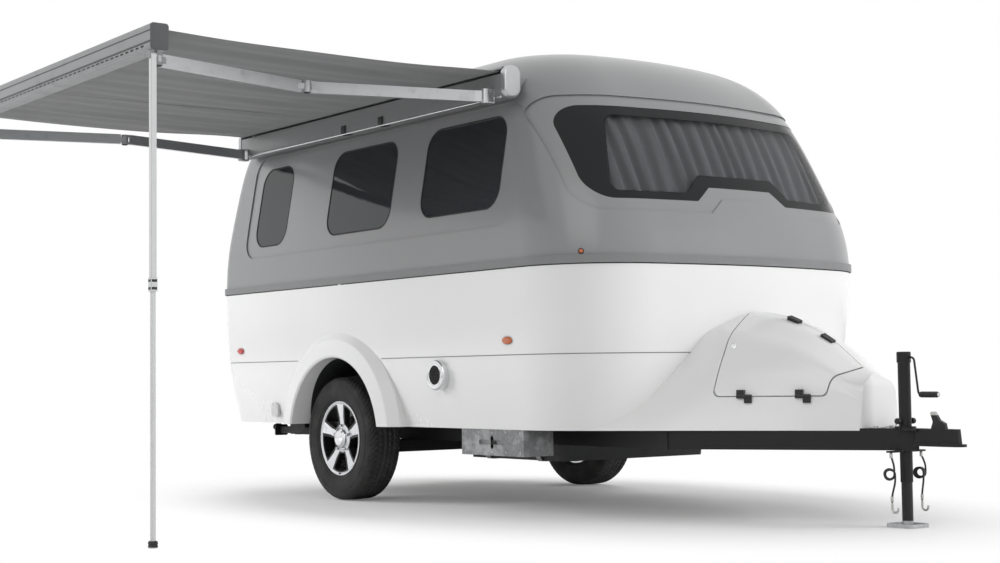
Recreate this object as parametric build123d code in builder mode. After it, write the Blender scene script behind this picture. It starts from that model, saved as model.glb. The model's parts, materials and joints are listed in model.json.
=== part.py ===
from build123d import *
import math
import os
from collections import namedtuple

os.makedirs("parts", exist_ok=True)

# One-axle travel caravan, in millimetres.
# +X points forward to the coupler, +Y to the left side and +Z up.
# The origin is on the ground, under the middle of the jack's foot.

# Clearances
FIT = 0.3  # a seated piece that is not touched
RUN = 0.05  # radial play of a pin or spindle in its bore
GAP = 6.0  # open seam around a door or lid

# Body shell
BODY_HALF_WIDTH = 1067.0  # at the belt
BODY_REAR_X = -4680.0
BODY_NOSE_X = -880.0
BODY_BOTTOM_Z = 440.0
BELT_Z = 1258.0
WALL = 32.0
REACH = 3000.0  # length of a cutting prism, past any wall

# Plan sections of the body. side_in, rear_in and nose_in are set back from
# the belt's outline, bow is the depth of the nose, lean is how far the wall's
# normal points up, in degrees.
Level = namedtuple("Level", "z side_in rear_in nose_in bow rear_r corner_r nose_r lean")
LOWER_LEVELS = (
    Level(BODY_BOTTOM_Z, 82, 60, 120, 160, 90, 480, 2800, 0),
    Level(BELT_Z - 442, 22, 18, 40, 160, 100, 500, 3000, 0),
    Level(BELT_Z, 0, 0, 0, 160, 110, 500, 3000, 0),
)
UPPER_LEVELS = (
    Level(BELT_Z, 0, 0, 0, 160, 110, 500, 3000, 0),
    Level(BELT_Z + 150, 5, 3, 15, 160, 110, 500, 3000, 2),
    Level(BELT_Z + 450, 40, 28, 125, 160, 110, 490, 2900, 7),
    Level(BELT_Z + 792, 102, 70, 300, 160, 120, 480, 2600, 12),
    Level(BELT_Z + 1007, 182, 140, 490, 155, 150, 440, 2200, 31),
    Level(BELT_Z + 1127, 307, 260, 690, 150, 170, 400, 2000, 60),
    Level(BELT_Z + 1192, 507, 480, 960, 130, 170, 320, 1100, 78),
    Level(BELT_Z + 1220, 767, 780, 1320, 90, 120, 180, 500, 90),
)

# Windows and the shallow recess that frames them
RECESS_DEPTH = 8.0
PANE_SET = 10.0  # pane's outer face below the skin
PANE_THICK = 6.0
WINDOW_R = 110.0
SideWindow = namedtuple("SideWindow", "name rear_x front_x sill_z head_z")
SIDE_WINDOWS = (
    SideWindow("rear", -4260.0, -3870.0, 1530.0, 2030.0),
    SideWindow("middle", -3400.0, -2710.0, 1540.0, 2040.0),
    SideWindow("front", -2420.0, -1700.0, 1560.0, 2050.0),
)
SIDE_RECESS = SideWindow("recess", -4360.0, -1590.0, 1465.0, 2108.0)
FRONT_WIN_HALF = 890.0
FRONT_WIN_SILL_Z = 1570.0
FRONT_WIN_HEAD_Z = 2065.0
FRONT_WIN_R = 120.0
NOTCH_HALF_FOOT = 310.0  # raised middle of the front window's lower edge
NOTCH_HALF_TOP = 215.0
NOTCH_RISE = 75.0
FRONT_RECESS_BAND = 60.0
CURTAIN_THICK = 10.0
CURTAIN_LAP = 60.0

# Belt rail and rear cap
BELT_RAIL_TOP = 34.0  # above the belt
BELT_RAIL_FOOT = 6.0  # below the belt
BELT_RAIL_PROUD = 8.0
CAP_SEAM_AHEAD = 62.0  # from the rear edge at the belt to the cap's seam
CAP_SEAM_LEAN = 6.0  # degrees

# Floor
FLOOR_THICK = 45.0

# Rear entry door
DOOR_LEFT_Y = -10.0
DOOR_WIDTH = 620.0
DOOR_SILL_Z = 505.0
DOOR_HEAD_Z = 2125.0
DOOR_R = 95.0
DOOR_WIN_SILL_Z = 1560.0
DOOR_WIN_HEAD_Z = 2010.0
DOOR_WIN_MARGIN = 95.0
DOOR_HINGE_OUT = 20.0  # hinge axis behind the rear edge of the belt
HINGE_PIN_R = 6.0
HINGE_KNUCKLE_R = 12.0
HINGE_KNUCKLE_LEN = 45.0
DOOR_LEAF_REACH = 55.0
DOOR_LEAF_THICK = 10.0
DOOR_HINGE_ZS = (760.0, 1180.0, 1760.0)
DOOR_HANDLE_Z = 1150.0
DOOR_HANDLE_LENGTH = 140.0
DOOR_HANDLE_OUT = 32.0

# Wheels
AXLE_X = -3350.0
WHEEL_R = 360.0
TYRE_WIDTH = 225.0
WHEEL_Y = 888.0  # middle plane of each wheel
RIM_R = 216.0
RIM_WALL = 9.0
RIM_FACE_SET = 22.0  # spoke face inside the tyre's outer side
SPOKES = 5
POCKET_IN = 88.0  # pockets between the spokes: radii and half widths of their ends
POCKET_OUT = 180.0
POCKET_BOW = 14.0
POCKET_NARROW = 26.0
POCKET_WIDE = 75.0
HUB_R = 62.0
SPINDLE_R = 22.0
HUB_CAP_R = 58.0

# Wheel arch
ARCH_X = -3255.0
ARCH_Z = 350.0
ARCH_R = 480.0
FLARE_R = 645.0
FLARE_OUT_Y = 1098.0
FLARE_ROOT = 120.0  # of the ring inside the belt, cut off by the wall
WELL_WALL = 6.0
WELL_INNER_Y = 735.0

# Chassis
RAIL_Y = 600.0
RAIL_WIDTH = 50.0
RAIL_HEIGHT = 90.0
RAIL_WALL = 4.0
RAIL_REAR_X = -4560.0
CROSS_FRONT_X = -950.0
CROSS_WIDTH = 50.0
CROSS_REAR_X = -4510.0
DRAWBAR_SLOPE = 0.613  # sideways run of the drawbar for each unit back
DRAWBAR_TIP_X = 76.0  # where the outer faces of the two drawbars meet
BEAM_SIDE = 75.0
BEAM_AHEAD = 150.0  # of the axle
ARM_WIDTH = 38.0
ARM_HEIGHT = 80.0
ARM_Y = 700.0

# Coupler
BALL_X = 265.0
BALL_Z = 398.0
BALL_BORE_R = 25.9
COUPLER_WALL = 7.0
COUPLER_WIDTH = 84.0
COUPLER_BOTTOM_Z = 372.0
PLATE_THICK = 10.0
PLATE_REAR_X = -185.0  # coupler plate: its rear corners
PLATE_REAR_HALF = 150.0
PLATE_CLEAR = 5.0  # room round it under the locker's nose

# Tongue jack
JACK_TUBE_R = 28.5
JACK_TUBE_WALL = 3.0
JACK_TUBE_BOTTOM_Z = 205.0
JACK_TOP_Z = 800.0
JACK_LEG_TOP_Z = 520.0
FOOT_LENGTH = 150.0
FOOT_WIDTH = 130.0
FOOT_THICK = 6.0
CRANK_Z = 775.0
CRANK_R = 7.0
CRANK_OUT_X = 78.0
CRANK_GRIP_Z = 604.0
CRANK_GRIP_R = 15.0
CRANK_GRIP_LEN = 105.0

# Gas locker over the drawbars
LOCKER_WALL = 12.0
# Stations from inside the body to the nose: x, half width of the base, of the
# waist and of the shoulder with their heights, height of the ridge's corner,
# and the three radii.
LockerStation = namedtuple(
    "LockerStation", "x base waist waist_z shoulder shoulder_z ridge_z waist_r shoulder_r ridge_r"
)
LOCKER_STATIONS = (
    LockerStation(-1300, 885, 560, 765, 370, 940, 1058, 400, 240, 380),
    LockerStation(-950, 665, 460, 742, 318, 918, 1044, 400, 230, 350),
    LockerStation(-770, 540, 411, 720, 285, 893, 1033, 400, 200, 300),
    LockerStation(-640, 454, 352, 712, 254, 860, 998, 350, 170, 260),
    LockerStation(-500, 362, 286, 700, 215, 822, 937, 300, 140, 220),
    LockerStation(-300, 232, 194, 650, 160, 722, 802, 200, 75, 150),
    LockerStation(-147, 137, 121, 570, 110, 655, 702, 100, 75, 90),
)
NOSE_HALF = 140.0  # half width of the nose's plan, before its corners are rounded
NOSE_SPREAD = 1300.0  # half width of that plan at the first station
NOSE_PLAN_R = 70.0
NOSE_TOP_Z = 676.0
NOSE_RISE_Z = 1720.0  # top of the nose's side outline at the first station
NOSE_SIDE_R = 90.0
LID_HINGE_Z = 600.0
LID_HINGE_OUT = 13.0
LID_REAR_X = -770.0
LID_REAR_HALF = 466.48  # half width of the locker at the lid's hinge line
LID_HINGE_SLOPE = 0.5604  # how fast that half width falls towards the nose
LID_LENGTH = 540.0
LID_RIDGE_SET = 14.0
LID_HINGE_STATIONS = (120.0, 402.0)
LID_KNUCKLE_LEN = 36.0
# Latches: x and height of the middle, pitch in degrees
LATCHES = ((-640.0, 961.0, 22.0), (-430.0, 864.0, 31.0))
LATCH_LENGTH = 72.0
LATCH_WIDTH = 30.0
LATCH_HEIGHT = 32.0
LATCH_ROLL = 10.0

# Lamps, vents and covers on the body
MARKER_XS = (-4430.0, -1620.0)
MARKER_Z = 888.0
MARKER_LENGTH = 84.0
MARKER_HEIGHT = 38.0
MARKER_PROUD = 2.0  # past the belt's half width
TAIL_Y = 860.0
TAIL_Z = 900.0
TAIL_WIDTH = 95.0
TAIL_HEIGHT = 220.0
TAIL_PROUD = 6.0
VENT_X = -2235.0
VENT_Z = 720.0
VENT_R = 80.0
VENT_PROUD = 6.0
SOCKET_X = -4060.0
SOCKET_Z = 520.0
SOCKET_WIDTH = 52.0
SOCKET_HEIGHT = 60.0
SOCKET_SET = 52.0  # cover's face inside the belt's half width
ROOF_VENT_X = -3100.0
ROOF_VENT_SIDE = 420.0

# Under the floor
TANK_X = -2280.0
TANK_LENGTH = 880.0
TANK_WIDTH = 1060.0
TANK_DEPTH = 185.0
SERVICE_X = -1865.0
SERVICE_Y = -880.0
SERVICE_LENGTH = 530.0
SERVICE_WIDTH = 190.0
SERVICE_HEIGHT = 135.0
STABILISER_X = -4380.0
STABILISER_Y = 700.0
STABILISER_WIDTH = 60.0
STABILISER_LEG = 260.0

# Awning
AWNING_REAR_X = -4450.0
AWNING_FRONT_X = -1600.0
CASSETTE_BACK_Y = 962.0
CASSETTE_FRONT_Y = 1055.0
CASSETTE_BOTTOM_Z = 2118.0
CASSETTE_TOP_Z = 2275.0
CASSETTE_WALL = 5.0
CASSETTE_CAP = 40.0
ARM_PIVOT_Y = 1098.0
ARM_LENGTH = 930.0
AWNING_SPAN = 1795.0  # from the shoulder pivots to the wrist pivots
AWNING_ARM_Z = 2128.0
AWNING_ARM_HEIGHT = 56.0
AWNING_ARM_THICK = 24.0
AWNING_ARM_OFFSET = 18.0  # bar beside the line of its pivots
SHOULDER_INSET = 120.0  # of the pivots from the awning's ends
ELBOW_R = 21.0
AWNING_PIN_R = 8.0
LUG_THICK = 8.0
LEAD_DEPTH = 86.0
LEAD_HEIGHT = 118.0
LEAD_WALL = 4.0
WRIST_OUT = 34.0
REAR_WRIST_PLAY = 2.0  # of the rear wrist pin, so that the two arms never bind
CANOPY_THICK = 4.0
LEG_SIDE = 26.0
LEG_PIVOT_Z = 2108.0
LEG_INSET = 25.0
LEG_FOOT_Z = 2.0
LEAD_OVERHANG = 60.0  # of the lead bar past the awning's ends
LEAD_BOTTOM_Z = 2130.0
CANOPY_INSET = 60.0  # of the cloth from the awning's ends
FRONT_LEG_SET = 62.0  # leg's middle behind the lead bar's inner face
REAR_LEG_SET = 26.0
LEG_SLEEVE_Z = 1120.0
LEG_LUG = 6.0
LEG_PIN_R = 6.0
LEG_FOOT_SIDE = 34.0
CANOPY_SLOT = 24.0

# Safety cables beside the jack
CABLE_R = 4.5
CABLE_Y = 105.0
CABLE_LUG_WIDTH = 30.0
LUG_INNER_Y = 50.0
CABLE_DROP = 45.0
COIL_R = 17.0
COIL_LENGTH = 110.0
CABLE_TAIL = 70.0
HOOK_R = 5.0
HOOK_SHANK = 28.0
HOOK_BEND_R = 17.0


def body_loft(levels, inset):
    """Solid of the body between these levels, its skin moved in by inset."""
    with BuildPart() as solid:
        for level in levels:
            lean = math.radians(level.lean)
            side = inset * math.cos(lean)
            half = BODY_HALF_WIDTH - level.side_in - side
            rear = BODY_REAR_X + level.rear_in + side
            nose = BODY_NOSE_X - level.nose_in - side
            corner = nose - level.bow
            with BuildSketch(Plane.XY.offset(level.z - inset * math.sin(lean))):
                with BuildLine():
                    FilletPolyline(
                        (rear, -half),
                        (corner, -half),
                        (nose, 0),
                        (corner, half),
                        (rear, half),
                        radius=[
                            level.rear_r - side,
                            level.corner_r - side,
                            level.nose_r - side,
                            level.corner_r - side,
                            level.rear_r - side,
                        ],
                        close=True,
                    )
                make_face()
        loft()
    return solid.part


def side_prism(window, grow, radius, side=0):
    """Prism across the body with a side window's outline; side -1 or 1 for one wall, 0 for both."""
    width = window.front_x - window.rear_x + 2 * grow
    height = window.head_z - window.sill_z + 2 * grow
    middle = ((window.front_x + window.rear_x) / 2, (window.head_z + window.sill_z) / 2)
    with BuildPart() as prism:
        with BuildSketch(Plane.XZ):
            with Locations(middle):
                RectangleRounded(width, height, radius + grow)
        extrude(amount=-REACH * side if side else REACH, both=(side == 0))
    return prism.part


def front_prism(grow):
    """Prism along X with the front window's outline, moved out by grow."""
    sill = FRONT_WIN_SILL_Z - grow
    head = FRONT_WIN_HEAD_Z + grow
    with BuildPart() as prism:
        with BuildSketch(Plane.YZ.offset(BODY_NOSE_X - 1100)):
            with Locations((0, (sill + head) / 2)):
                RectangleRounded(2 * (FRONT_WIN_HALF + grow), head - sill, FRONT_WIN_R)
            with BuildLine():
                Polyline(
                    (-NOTCH_HALF_FOOT + grow, sill - NOTCH_RISE),
                    (-NOTCH_HALF_FOOT + grow, sill),
                    (-NOTCH_HALF_TOP + grow, sill + NOTCH_RISE),
                    (NOTCH_HALF_TOP - grow, sill + NOTCH_RISE),
                    (NOTCH_HALF_FOOT - grow, sill),
                    (NOTCH_HALF_FOOT - grow, sill - NOTCH_RISE),
                    close=True,
                )
            make_face(mode=Mode.SUBTRACT)
        extrude(amount=REACH)
    return prism.part


def rear_prism(left_y, right_y, sill_z, head_z, radius):
    """Prism along X through the rear wall only."""
    with BuildPart() as prism:
        with BuildSketch(Plane.YZ.offset(BODY_REAR_X + 400)):
            with Locations(((left_y + right_y) / 2, (sill_z + head_z) / 2)):
                RectangleRounded(left_y - right_y, head_z - sill_z, radius)
        extrude(amount=-REACH)
    return prism.part


def finish(builder, name):
    """Label a finished piece and write it."""
    builder.part.label = name
    export_step(builder.part, f"parts/{name}.step")


lower_skin = body_loft(LOWER_LEVELS, 0)
lower_core = body_loft(LOWER_LEVELS, WALL)
upper_skin = body_loft(UPPER_LEVELS, 0)
upper_core = body_loft(UPPER_LEVELS, WALL)
recess_core = body_loft(UPPER_LEVELS, RECESS_DEPTH)
pane_outer = body_loft(UPPER_LEVELS, PANE_SET)
pane_inner = body_loft(UPPER_LEVELS, PANE_SET + PANE_THICK)

door_right_y = DOOR_LEFT_Y - DOOR_WIDTH
door_hinge_x = BODY_REAR_X - DOOR_HINGE_OUT
door_hinge_y = DOOR_LEFT_Y - GAP / 2
door_opening = rear_prism(DOOR_LEFT_Y, door_right_y, DOOR_SILL_Z, DOOR_HEAD_Z, DOOR_R)
door_blank = rear_prism(DOOR_LEFT_Y - GAP, door_right_y + GAP, DOOR_SILL_Z + GAP, DOOR_HEAD_Z - GAP, DOOR_R - GAP)
door_glass = rear_prism(
    DOOR_LEFT_Y - DOOR_WIN_MARGIN,
    door_right_y + DOOR_WIN_MARGIN,
    DOOR_WIN_SILL_Z,
    DOOR_WIN_HEAD_Z,
    WINDOW_R,
)
door_glass_fit = rear_prism(
    DOOR_LEFT_Y - DOOR_WIN_MARGIN - FIT,
    door_right_y + DOOR_WIN_MARGIN + FIT,
    DOOR_WIN_SILL_Z + FIT,
    DOOR_WIN_HEAD_Z - FIT,
    WINDOW_R - FIT,
)

# The two wheel arches, cut through the lower walls
with BuildPart() as arch_cut:
    with BuildSketch(Plane.XZ):
        with Locations((ARCH_X, ARCH_Z)):
            Circle(ARCH_R)
    extrude(amount=REACH, both=True)

# The lower shell is a ring of wall, open below and above
with BuildPart() as lower_shell:
    add(lower_skin)
    add(lower_core, mode=Mode.SUBTRACT)
    add(arch_cut.part, mode=Mode.SUBTRACT)
    add(door_opening, mode=Mode.SUBTRACT)
finish(lower_shell, "lower_shell")

# The upper shell with its windows, still whole
with BuildPart() as upper_whole:
    add(upper_skin)
    add(upper_core, mode=Mode.SUBTRACT)
    for outline in (side_prism(SIDE_RECESS, 0, WINDOW_R), front_prism(FRONT_RECESS_BAND)):
        add((upper_skin & outline) - recess_core, mode=Mode.SUBTRACT)
    for window in SIDE_WINDOWS:
        add(side_prism(window, 0, WINDOW_R), mode=Mode.SUBTRACT)
    add(front_prism(0), mode=Mode.SUBTRACT)
    add(door_opening, mode=Mode.SUBTRACT)

# The rear cap is the panel behind a leaning seam
cap_seam = Plane(
    origin=(BODY_REAR_X + CAP_SEAM_AHEAD, 0, BELT_Z),
    z_dir=(math.cos(math.radians(CAP_SEAM_LEAN)), 0, -math.sin(math.radians(CAP_SEAM_LEAN))),
)
with BuildPart() as upper_shell:
    add(upper_whole.part)
    split(bisect_by=cap_seam, keep=Keep.TOP)
finish(upper_shell, "upper_shell")
with BuildPart() as rear_cap:
    add(upper_whole.part)
    split(bisect_by=cap_seam, keep=Keep.BOTTOM)
finish(rear_cap, "rear_cap")

# The belt rail runs round the outside and stops at the door
with BuildPart() as belt_rail:
    for z in (BELT_Z - BELT_RAIL_FOOT, BELT_Z + BELT_RAIL_TOP):
        with BuildSketch(Plane.XY.offset(z)):
            half = BODY_HALF_WIDTH + BELT_RAIL_PROUD
            rear = BODY_REAR_X - BELT_RAIL_PROUD
            nose = BODY_NOSE_X + BELT_RAIL_PROUD
            belt = LOWER_LEVELS[-1]
            corner = nose - belt.bow
            with BuildLine():
                FilletPolyline(
                    (rear, -half),
                    (corner, -half),
                    (nose, 0),
                    (corner, half),
                    (rear, half),
                    radius=[belt.rear_r, belt.corner_r, belt.nose_r, belt.corner_r, belt.rear_r],
                    close=True,
                )
            make_face()
    loft()
    add(body_loft(LOWER_LEVELS, -FIT), mode=Mode.SUBTRACT)
    add(body_loft(UPPER_LEVELS, -FIT), mode=Mode.SUBTRACT)
    add(door_opening, mode=Mode.SUBTRACT)
finish(belt_rail, "belt_rail")

# Panes of the side windows, in the openings of each wall
for name, side in (("right", -1), ("left", 1)):
    with BuildPart() as side_windows:
        for window in SIDE_WINDOWS:
            add((pane_outer & side_prism(window, -FIT, WINDOW_R, side)) - pane_inner)
    finish(side_windows, f"side_windows_{name}")

with BuildPart() as front_window:
    add(pane_outer & front_prism(-FIT))
    add(pane_inner, mode=Mode.SUBTRACT)
finish(front_window, "front_window")

# The curtain hangs against the inside of the front wall, over the window
with BuildPart() as front_curtain:
    with BuildSketch(Plane.YZ.offset(BODY_NOSE_X - 1100)):
        with Locations((0, (FRONT_WIN_SILL_Z + FRONT_WIN_HEAD_Z) / 2)):
            Rectangle(
                2 * (FRONT_WIN_HALF - CURTAIN_LAP),
                FRONT_WIN_HEAD_Z - FRONT_WIN_SILL_Z + CURTAIN_LAP,
            )
    extrude(amount=REACH)
    add(body_loft(UPPER_LEVELS, WALL + FIT), mode=Mode.INTERSECT)
    add(body_loft(UPPER_LEVELS, WALL + FIT + CURTAIN_THICK), mode=Mode.SUBTRACT)
finish(front_curtain, "front_curtain")

# The wheel wells are half drums behind the arches, closed on their inner side
well_top_r = ARCH_R + WELL_WALL
with BuildPart() as wheel_wells:
    for side in (-1, 1):
        with BuildSketch(Plane.XZ.offset(-side * WELL_INNER_Y)):
            with Locations((ARCH_X, ARCH_Z)):
                Circle(well_top_r)
        extrude(amount=-side * REACH)
        with BuildSketch(Plane.XZ.offset(-side * (WELL_INNER_Y + WELL_WALL))):
            with Locations((ARCH_X, ARCH_Z)):
                Circle(ARCH_R)
        extrude(amount=-side * REACH, mode=Mode.SUBTRACT)
    with BuildSketch(Plane.XY.offset(BODY_BOTTOM_Z)):
        with Locations((ARCH_X, 0)):
            Rectangle(2 * REACH, 2 * REACH)
    extrude(amount=REACH, mode=Mode.INTERSECT)
    add(body_loft(LOWER_LEVELS, WALL + FIT), mode=Mode.INTERSECT)
finish(wheel_wells, "wheel_wells")

# The floor fills the lower shell's foot and stops round the wells
with BuildPart() as floor:
    add(body_loft(LOWER_LEVELS, WALL + FIT))
    with BuildSketch(Plane.XY.offset(BODY_BOTTOM_Z)):
        with Locations(((BODY_REAR_X + BODY_NOSE_X) / 2, 0)):
            Rectangle(2 * REACH, 2 * REACH)
    extrude(amount=FLOOR_THICK, mode=Mode.INTERSECT)
    for side in (-1, 1):
        with BuildSketch(Plane.XZ.offset(-side * (WELL_INNER_Y - FIT))):
            with Locations((ARCH_X, ARCH_Z)):
                Circle(well_top_r + FIT)
        extrude(amount=-side * REACH, mode=Mode.SUBTRACT)
finish(floor, "floor")

# The flares are half rings on the lower walls, turned about the arch's middle
with BuildPart() as wheel_flares:
    for side in (-1, 1):
        arch_plane = Plane(origin=(ARCH_X, 0, ARCH_Z), x_dir=(0, side, 0), z_dir=(side, 0, 0))
        with BuildSketch(arch_plane):
            with BuildLine():
                FilletPolyline(
                    (BODY_HALF_WIDTH - FLARE_ROOT, FLARE_R),
                    (BODY_HALF_WIDTH - 25, FLARE_R),
                    (FLARE_OUT_Y - 12, FLARE_R - 62),
                    (FLARE_OUT_Y, ARCH_R + 12),
                    (FLARE_OUT_Y - 8, ARCH_R),
                    (BODY_HALF_WIDTH - FLARE_ROOT, ARCH_R),
                    radius=[0, 14, 25, 6, 4, 0],
                    close=True,
                )
            make_face()
        revolve(axis=Axis((ARCH_X, 0, ARCH_Z), (0, 1, 0)))
    with BuildSketch(Plane.XY.offset(BODY_BOTTOM_Z)):
        with Locations((ARCH_X, 0)):
            Rectangle(2 * REACH, 2 * REACH)
    extrude(amount=REACH, mode=Mode.INTERSECT)
    add(lower_skin, mode=Mode.SUBTRACT)
finish(wheel_flares, "wheel_flares")

# The door is the piece of wall inside the opening; its free edge is turned
# about the hinge, so that it swings clear of the frame
with BuildPart() as entry_door:
    add(lower_skin & door_blank)
    add(upper_skin & door_blank)
    add(lower_core, mode=Mode.SUBTRACT)
    add(upper_core, mode=Mode.SUBTRACT)
    with BuildSketch(Plane.XY):
        with Locations((door_hinge_x, door_hinge_y)):
            Circle(DOOR_WIDTH - GAP * 1.5)
    extrude(amount=REACH, mode=Mode.INTERSECT)
    add(door_glass, mode=Mode.SUBTRACT)
finish(entry_door, "entry_door")
with BuildPart() as door_window:
    add(pane_outer & door_glass_fit)
    add(pane_inner, mode=Mode.SUBTRACT)
finish(door_window, "door_window")

# Door fittings: hinge leaves with a knuckle each, over pins on the rear wall,
# and a bow handle near the free edge
body_skin = lower_skin + upper_skin
hinge_step = HINGE_KNUCKLE_LEN + FIT
handle_y = door_right_y + 70
with BuildPart() as door_fittings:
    for z in DOOR_HINGE_ZS:
        with BuildSketch(Plane.XY.offset(z)):
            with Locations((door_hinge_x, door_hinge_y)):
                Circle(HINGE_KNUCKLE_R)
                with Locations((0, -DOOR_LEAF_REACH / 2 - HINGE_KNUCKLE_R / 2)):
                    Rectangle(2 * HINGE_KNUCKLE_R, DOOR_LEAF_REACH + HINGE_KNUCKLE_R)
                with Locations((HINGE_KNUCKLE_R * 2, -DOOR_LEAF_REACH / 2 - GAP)):
                    Rectangle(HINGE_KNUCKLE_R * 6, DOOR_LEAF_REACH - GAP)
        extrude(amount=HINGE_KNUCKLE_LEN)
    with BuildSketch(Plane.XY.offset(DOOR_HANDLE_Z - DOOR_HANDLE_LENGTH / 2)):
        with Locations((BODY_REAR_X - DOOR_HANDLE_OUT, handle_y)):
            RectangleRounded(16, 30, 7)
    extrude(amount=DOOR_HANDLE_LENGTH)
    for z in (DOOR_HANDLE_Z - DOOR_HANDLE_LENGTH / 2, DOOR_HANDLE_Z + DOOR_HANDLE_LENGTH / 2 - 24):
        with BuildSketch(Plane.XY.offset(z)):
            with Locations((BODY_REAR_X, handle_y)):
                Rectangle(2 * DOOR_HANDLE_OUT, 26)
        extrude(amount=24)
    add(body_skin, mode=Mode.SUBTRACT)
    for z in DOOR_HINGE_ZS:
        with Locations((door_hinge_x, door_hinge_y, z)):
            Cylinder(HINGE_PIN_R + RUN, 3 * HINGE_KNUCKLE_LEN, mode=Mode.SUBTRACT)
finish(door_fittings, "door_fittings")
with BuildPart() as door_pins:
    for z in DOOR_HINGE_ZS:
        with BuildSketch(Plane.XY.offset(z - hinge_step)):
            with Locations((door_hinge_x, door_hinge_y)):
                Circle(HINGE_KNUCKLE_R)
                with Locations((0, DOOR_LEAF_REACH / 2 + HINGE_KNUCKLE_R / 2)):
                    Rectangle(2 * HINGE_KNUCKLE_R, DOOR_LEAF_REACH + HINGE_KNUCKLE_R)
                with Locations((HINGE_KNUCKLE_R * 2, DOOR_LEAF_REACH / 2 + GAP)):
                    Rectangle(HINGE_KNUCKLE_R * 6, DOOR_LEAF_REACH - GAP)
        extrude(amount=HINGE_KNUCKLE_LEN)
    add(body_skin, mode=Mode.SUBTRACT)
    for z in DOOR_HINGE_ZS:
        with BuildSketch(Plane.XY.offset(z - hinge_step)):
            with Locations((door_hinge_x, door_hinge_y)):
                Circle(HINGE_PIN_R)
        extrude(amount=2 * hinge_step + 2)

# Wheels: tyre, five-spoke rim and hub cap, turned about the axle
half_tyre = TYRE_WIDTH / 2
for name, side in (("right", -1), ("left", 1)):
    wheel_plane = Plane(
        origin=(AXLE_X, side * WHEEL_Y, WHEEL_R), x_dir=(0, side, 0), z_dir=(side, 0, 0)
    )
    wheel_axis = Axis((AXLE_X, 0, WHEEL_R), (0, 1, 0))
    face_plane = Plane(
        origin=(AXLE_X, side * (WHEEL_Y + half_tyre), WHEEL_R), x_dir=(side, 0, 0), z_dir=(0, -side, 0)
    )
    with BuildPart() as tyre:
        with BuildSketch(wheel_plane):
            with BuildLine():
                FilletPolyline(
                    (-half_tyre + 18, RIM_R),
                    (half_tyre - 18, RIM_R),
                    (half_tyre - 4, RIM_R + 40),
                    (half_tyre, WHEEL_R - 62),
                    (half_tyre - 22, WHEEL_R - 8),
                    (half_tyre - 46, WHEEL_R),
                    (-half_tyre + 46, WHEEL_R),
                    (-half_tyre + 22, WHEEL_R - 8),
                    (-half_tyre, WHEEL_R - 62),
                    (-half_tyre + 4, RIM_R + 40),
                    radius=[0, 0, 60, 45, 16, 30, 30, 16, 45, 60],
                    close=True,
                )
            make_face()
        revolve(axis=wheel_axis)
    finish(tyre, f"tyre_{name}")

    with BuildPart() as rim:
        with BuildSketch(wheel_plane):
            with BuildLine():
                Polyline(
                    (-half_tyre + 18, RIM_R - FIT),
                    (half_tyre - 18, RIM_R - FIT),
                    (half_tyre - 18, RIM_R - RIM_WALL),
                    (half_tyre - RIM_FACE_SET, RIM_R - RIM_WALL - 6),
                    (half_tyre - RIM_FACE_SET - 14, HUB_R + 20),
                    (half_tyre - RIM_FACE_SET - 8, HUB_R),
                    (half_tyre - RIM_FACE_SET - 8, SPINDLE_R + RUN),
                    (half_tyre - RIM_FACE_SET - 60, SPINDLE_R + RUN),
                    (half_tyre - RIM_FACE_SET - 60, HUB_R),
                    (half_tyre - RIM_FACE_SET - 46, HUB_R + 20),
                    (half_tyre - RIM_FACE_SET - 42, RIM_R - 3 * RIM_WALL),
                    (-half_tyre + 18, RIM_R - RIM_WALL),
                    close=True,
                )
            make_face()
        revolve(axis=wheel_axis)
        for pocket in range(SPOKES):
            turn = math.radians(90 + 360 * (pocket + 0.5) / SPOKES)
            pocket_plane = Plane(
                origin=face_plane.origin,
                x_dir=(math.cos(turn), 0, math.sin(turn)),
                z_dir=face_plane.z_dir,
            )
            with BuildSketch(pocket_plane):
                with BuildLine():
                    FilletPolyline(
                        (POCKET_IN, -POCKET_NARROW),
                        (POCKET_OUT, -POCKET_WIDE),
                        (POCKET_OUT + POCKET_BOW, 0),
                        (POCKET_OUT, POCKET_WIDE),
                        (POCKET_IN, POCKET_NARROW),
                        radius=[10, 16, 120, 16, 10],
                        close=True,
                    )
                make_face()
            extrude(amount=half_tyre, mode=Mode.SUBTRACT)
    finish(rim, f"rim_{name}")

    with BuildPart() as hub_cap:
        with BuildSketch(wheel_plane):
            base = half_tyre - RIM_FACE_SET - 8
            with BuildLine():
                FilletPolyline(
                    (base, 0),
                    (base, HUB_CAP_R),
                    (base + 10, HUB_CAP_R),
                    (base + 22, HUB_CAP_R - 16),
                    (base + 26, 0),
                    radius=[0, 0, 6, 12, 0],
                    close=True,
                )
            make_face()
        revolve(axis=wheel_axis)
    finish(hub_cap, f"hub_cap_{name}")

# Chassis rails and crossmembers, rectangular tube under the floor
rail_bottom_z = BODY_BOTTOM_Z - RAIL_HEIGHT
rail_mid_z = BODY_BOTTOM_Z - RAIL_HEIGHT / 2
with BuildPart() as main_rails:
    with BuildSketch(Plane.YZ.offset(RAIL_REAR_X)):
        with Locations((-RAIL_Y, rail_mid_z), (RAIL_Y, rail_mid_z)):
            Rectangle(RAIL_WIDTH, RAIL_HEIGHT)
            Rectangle(RAIL_WIDTH - 2 * RAIL_WALL, RAIL_HEIGHT - 2 * RAIL_WALL, mode=Mode.SUBTRACT)
    extrude(amount=CROSS_FRONT_X - CROSS_WIDTH / 2 - RAIL_REAR_X)
finish(main_rails, "main_rails")

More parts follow.
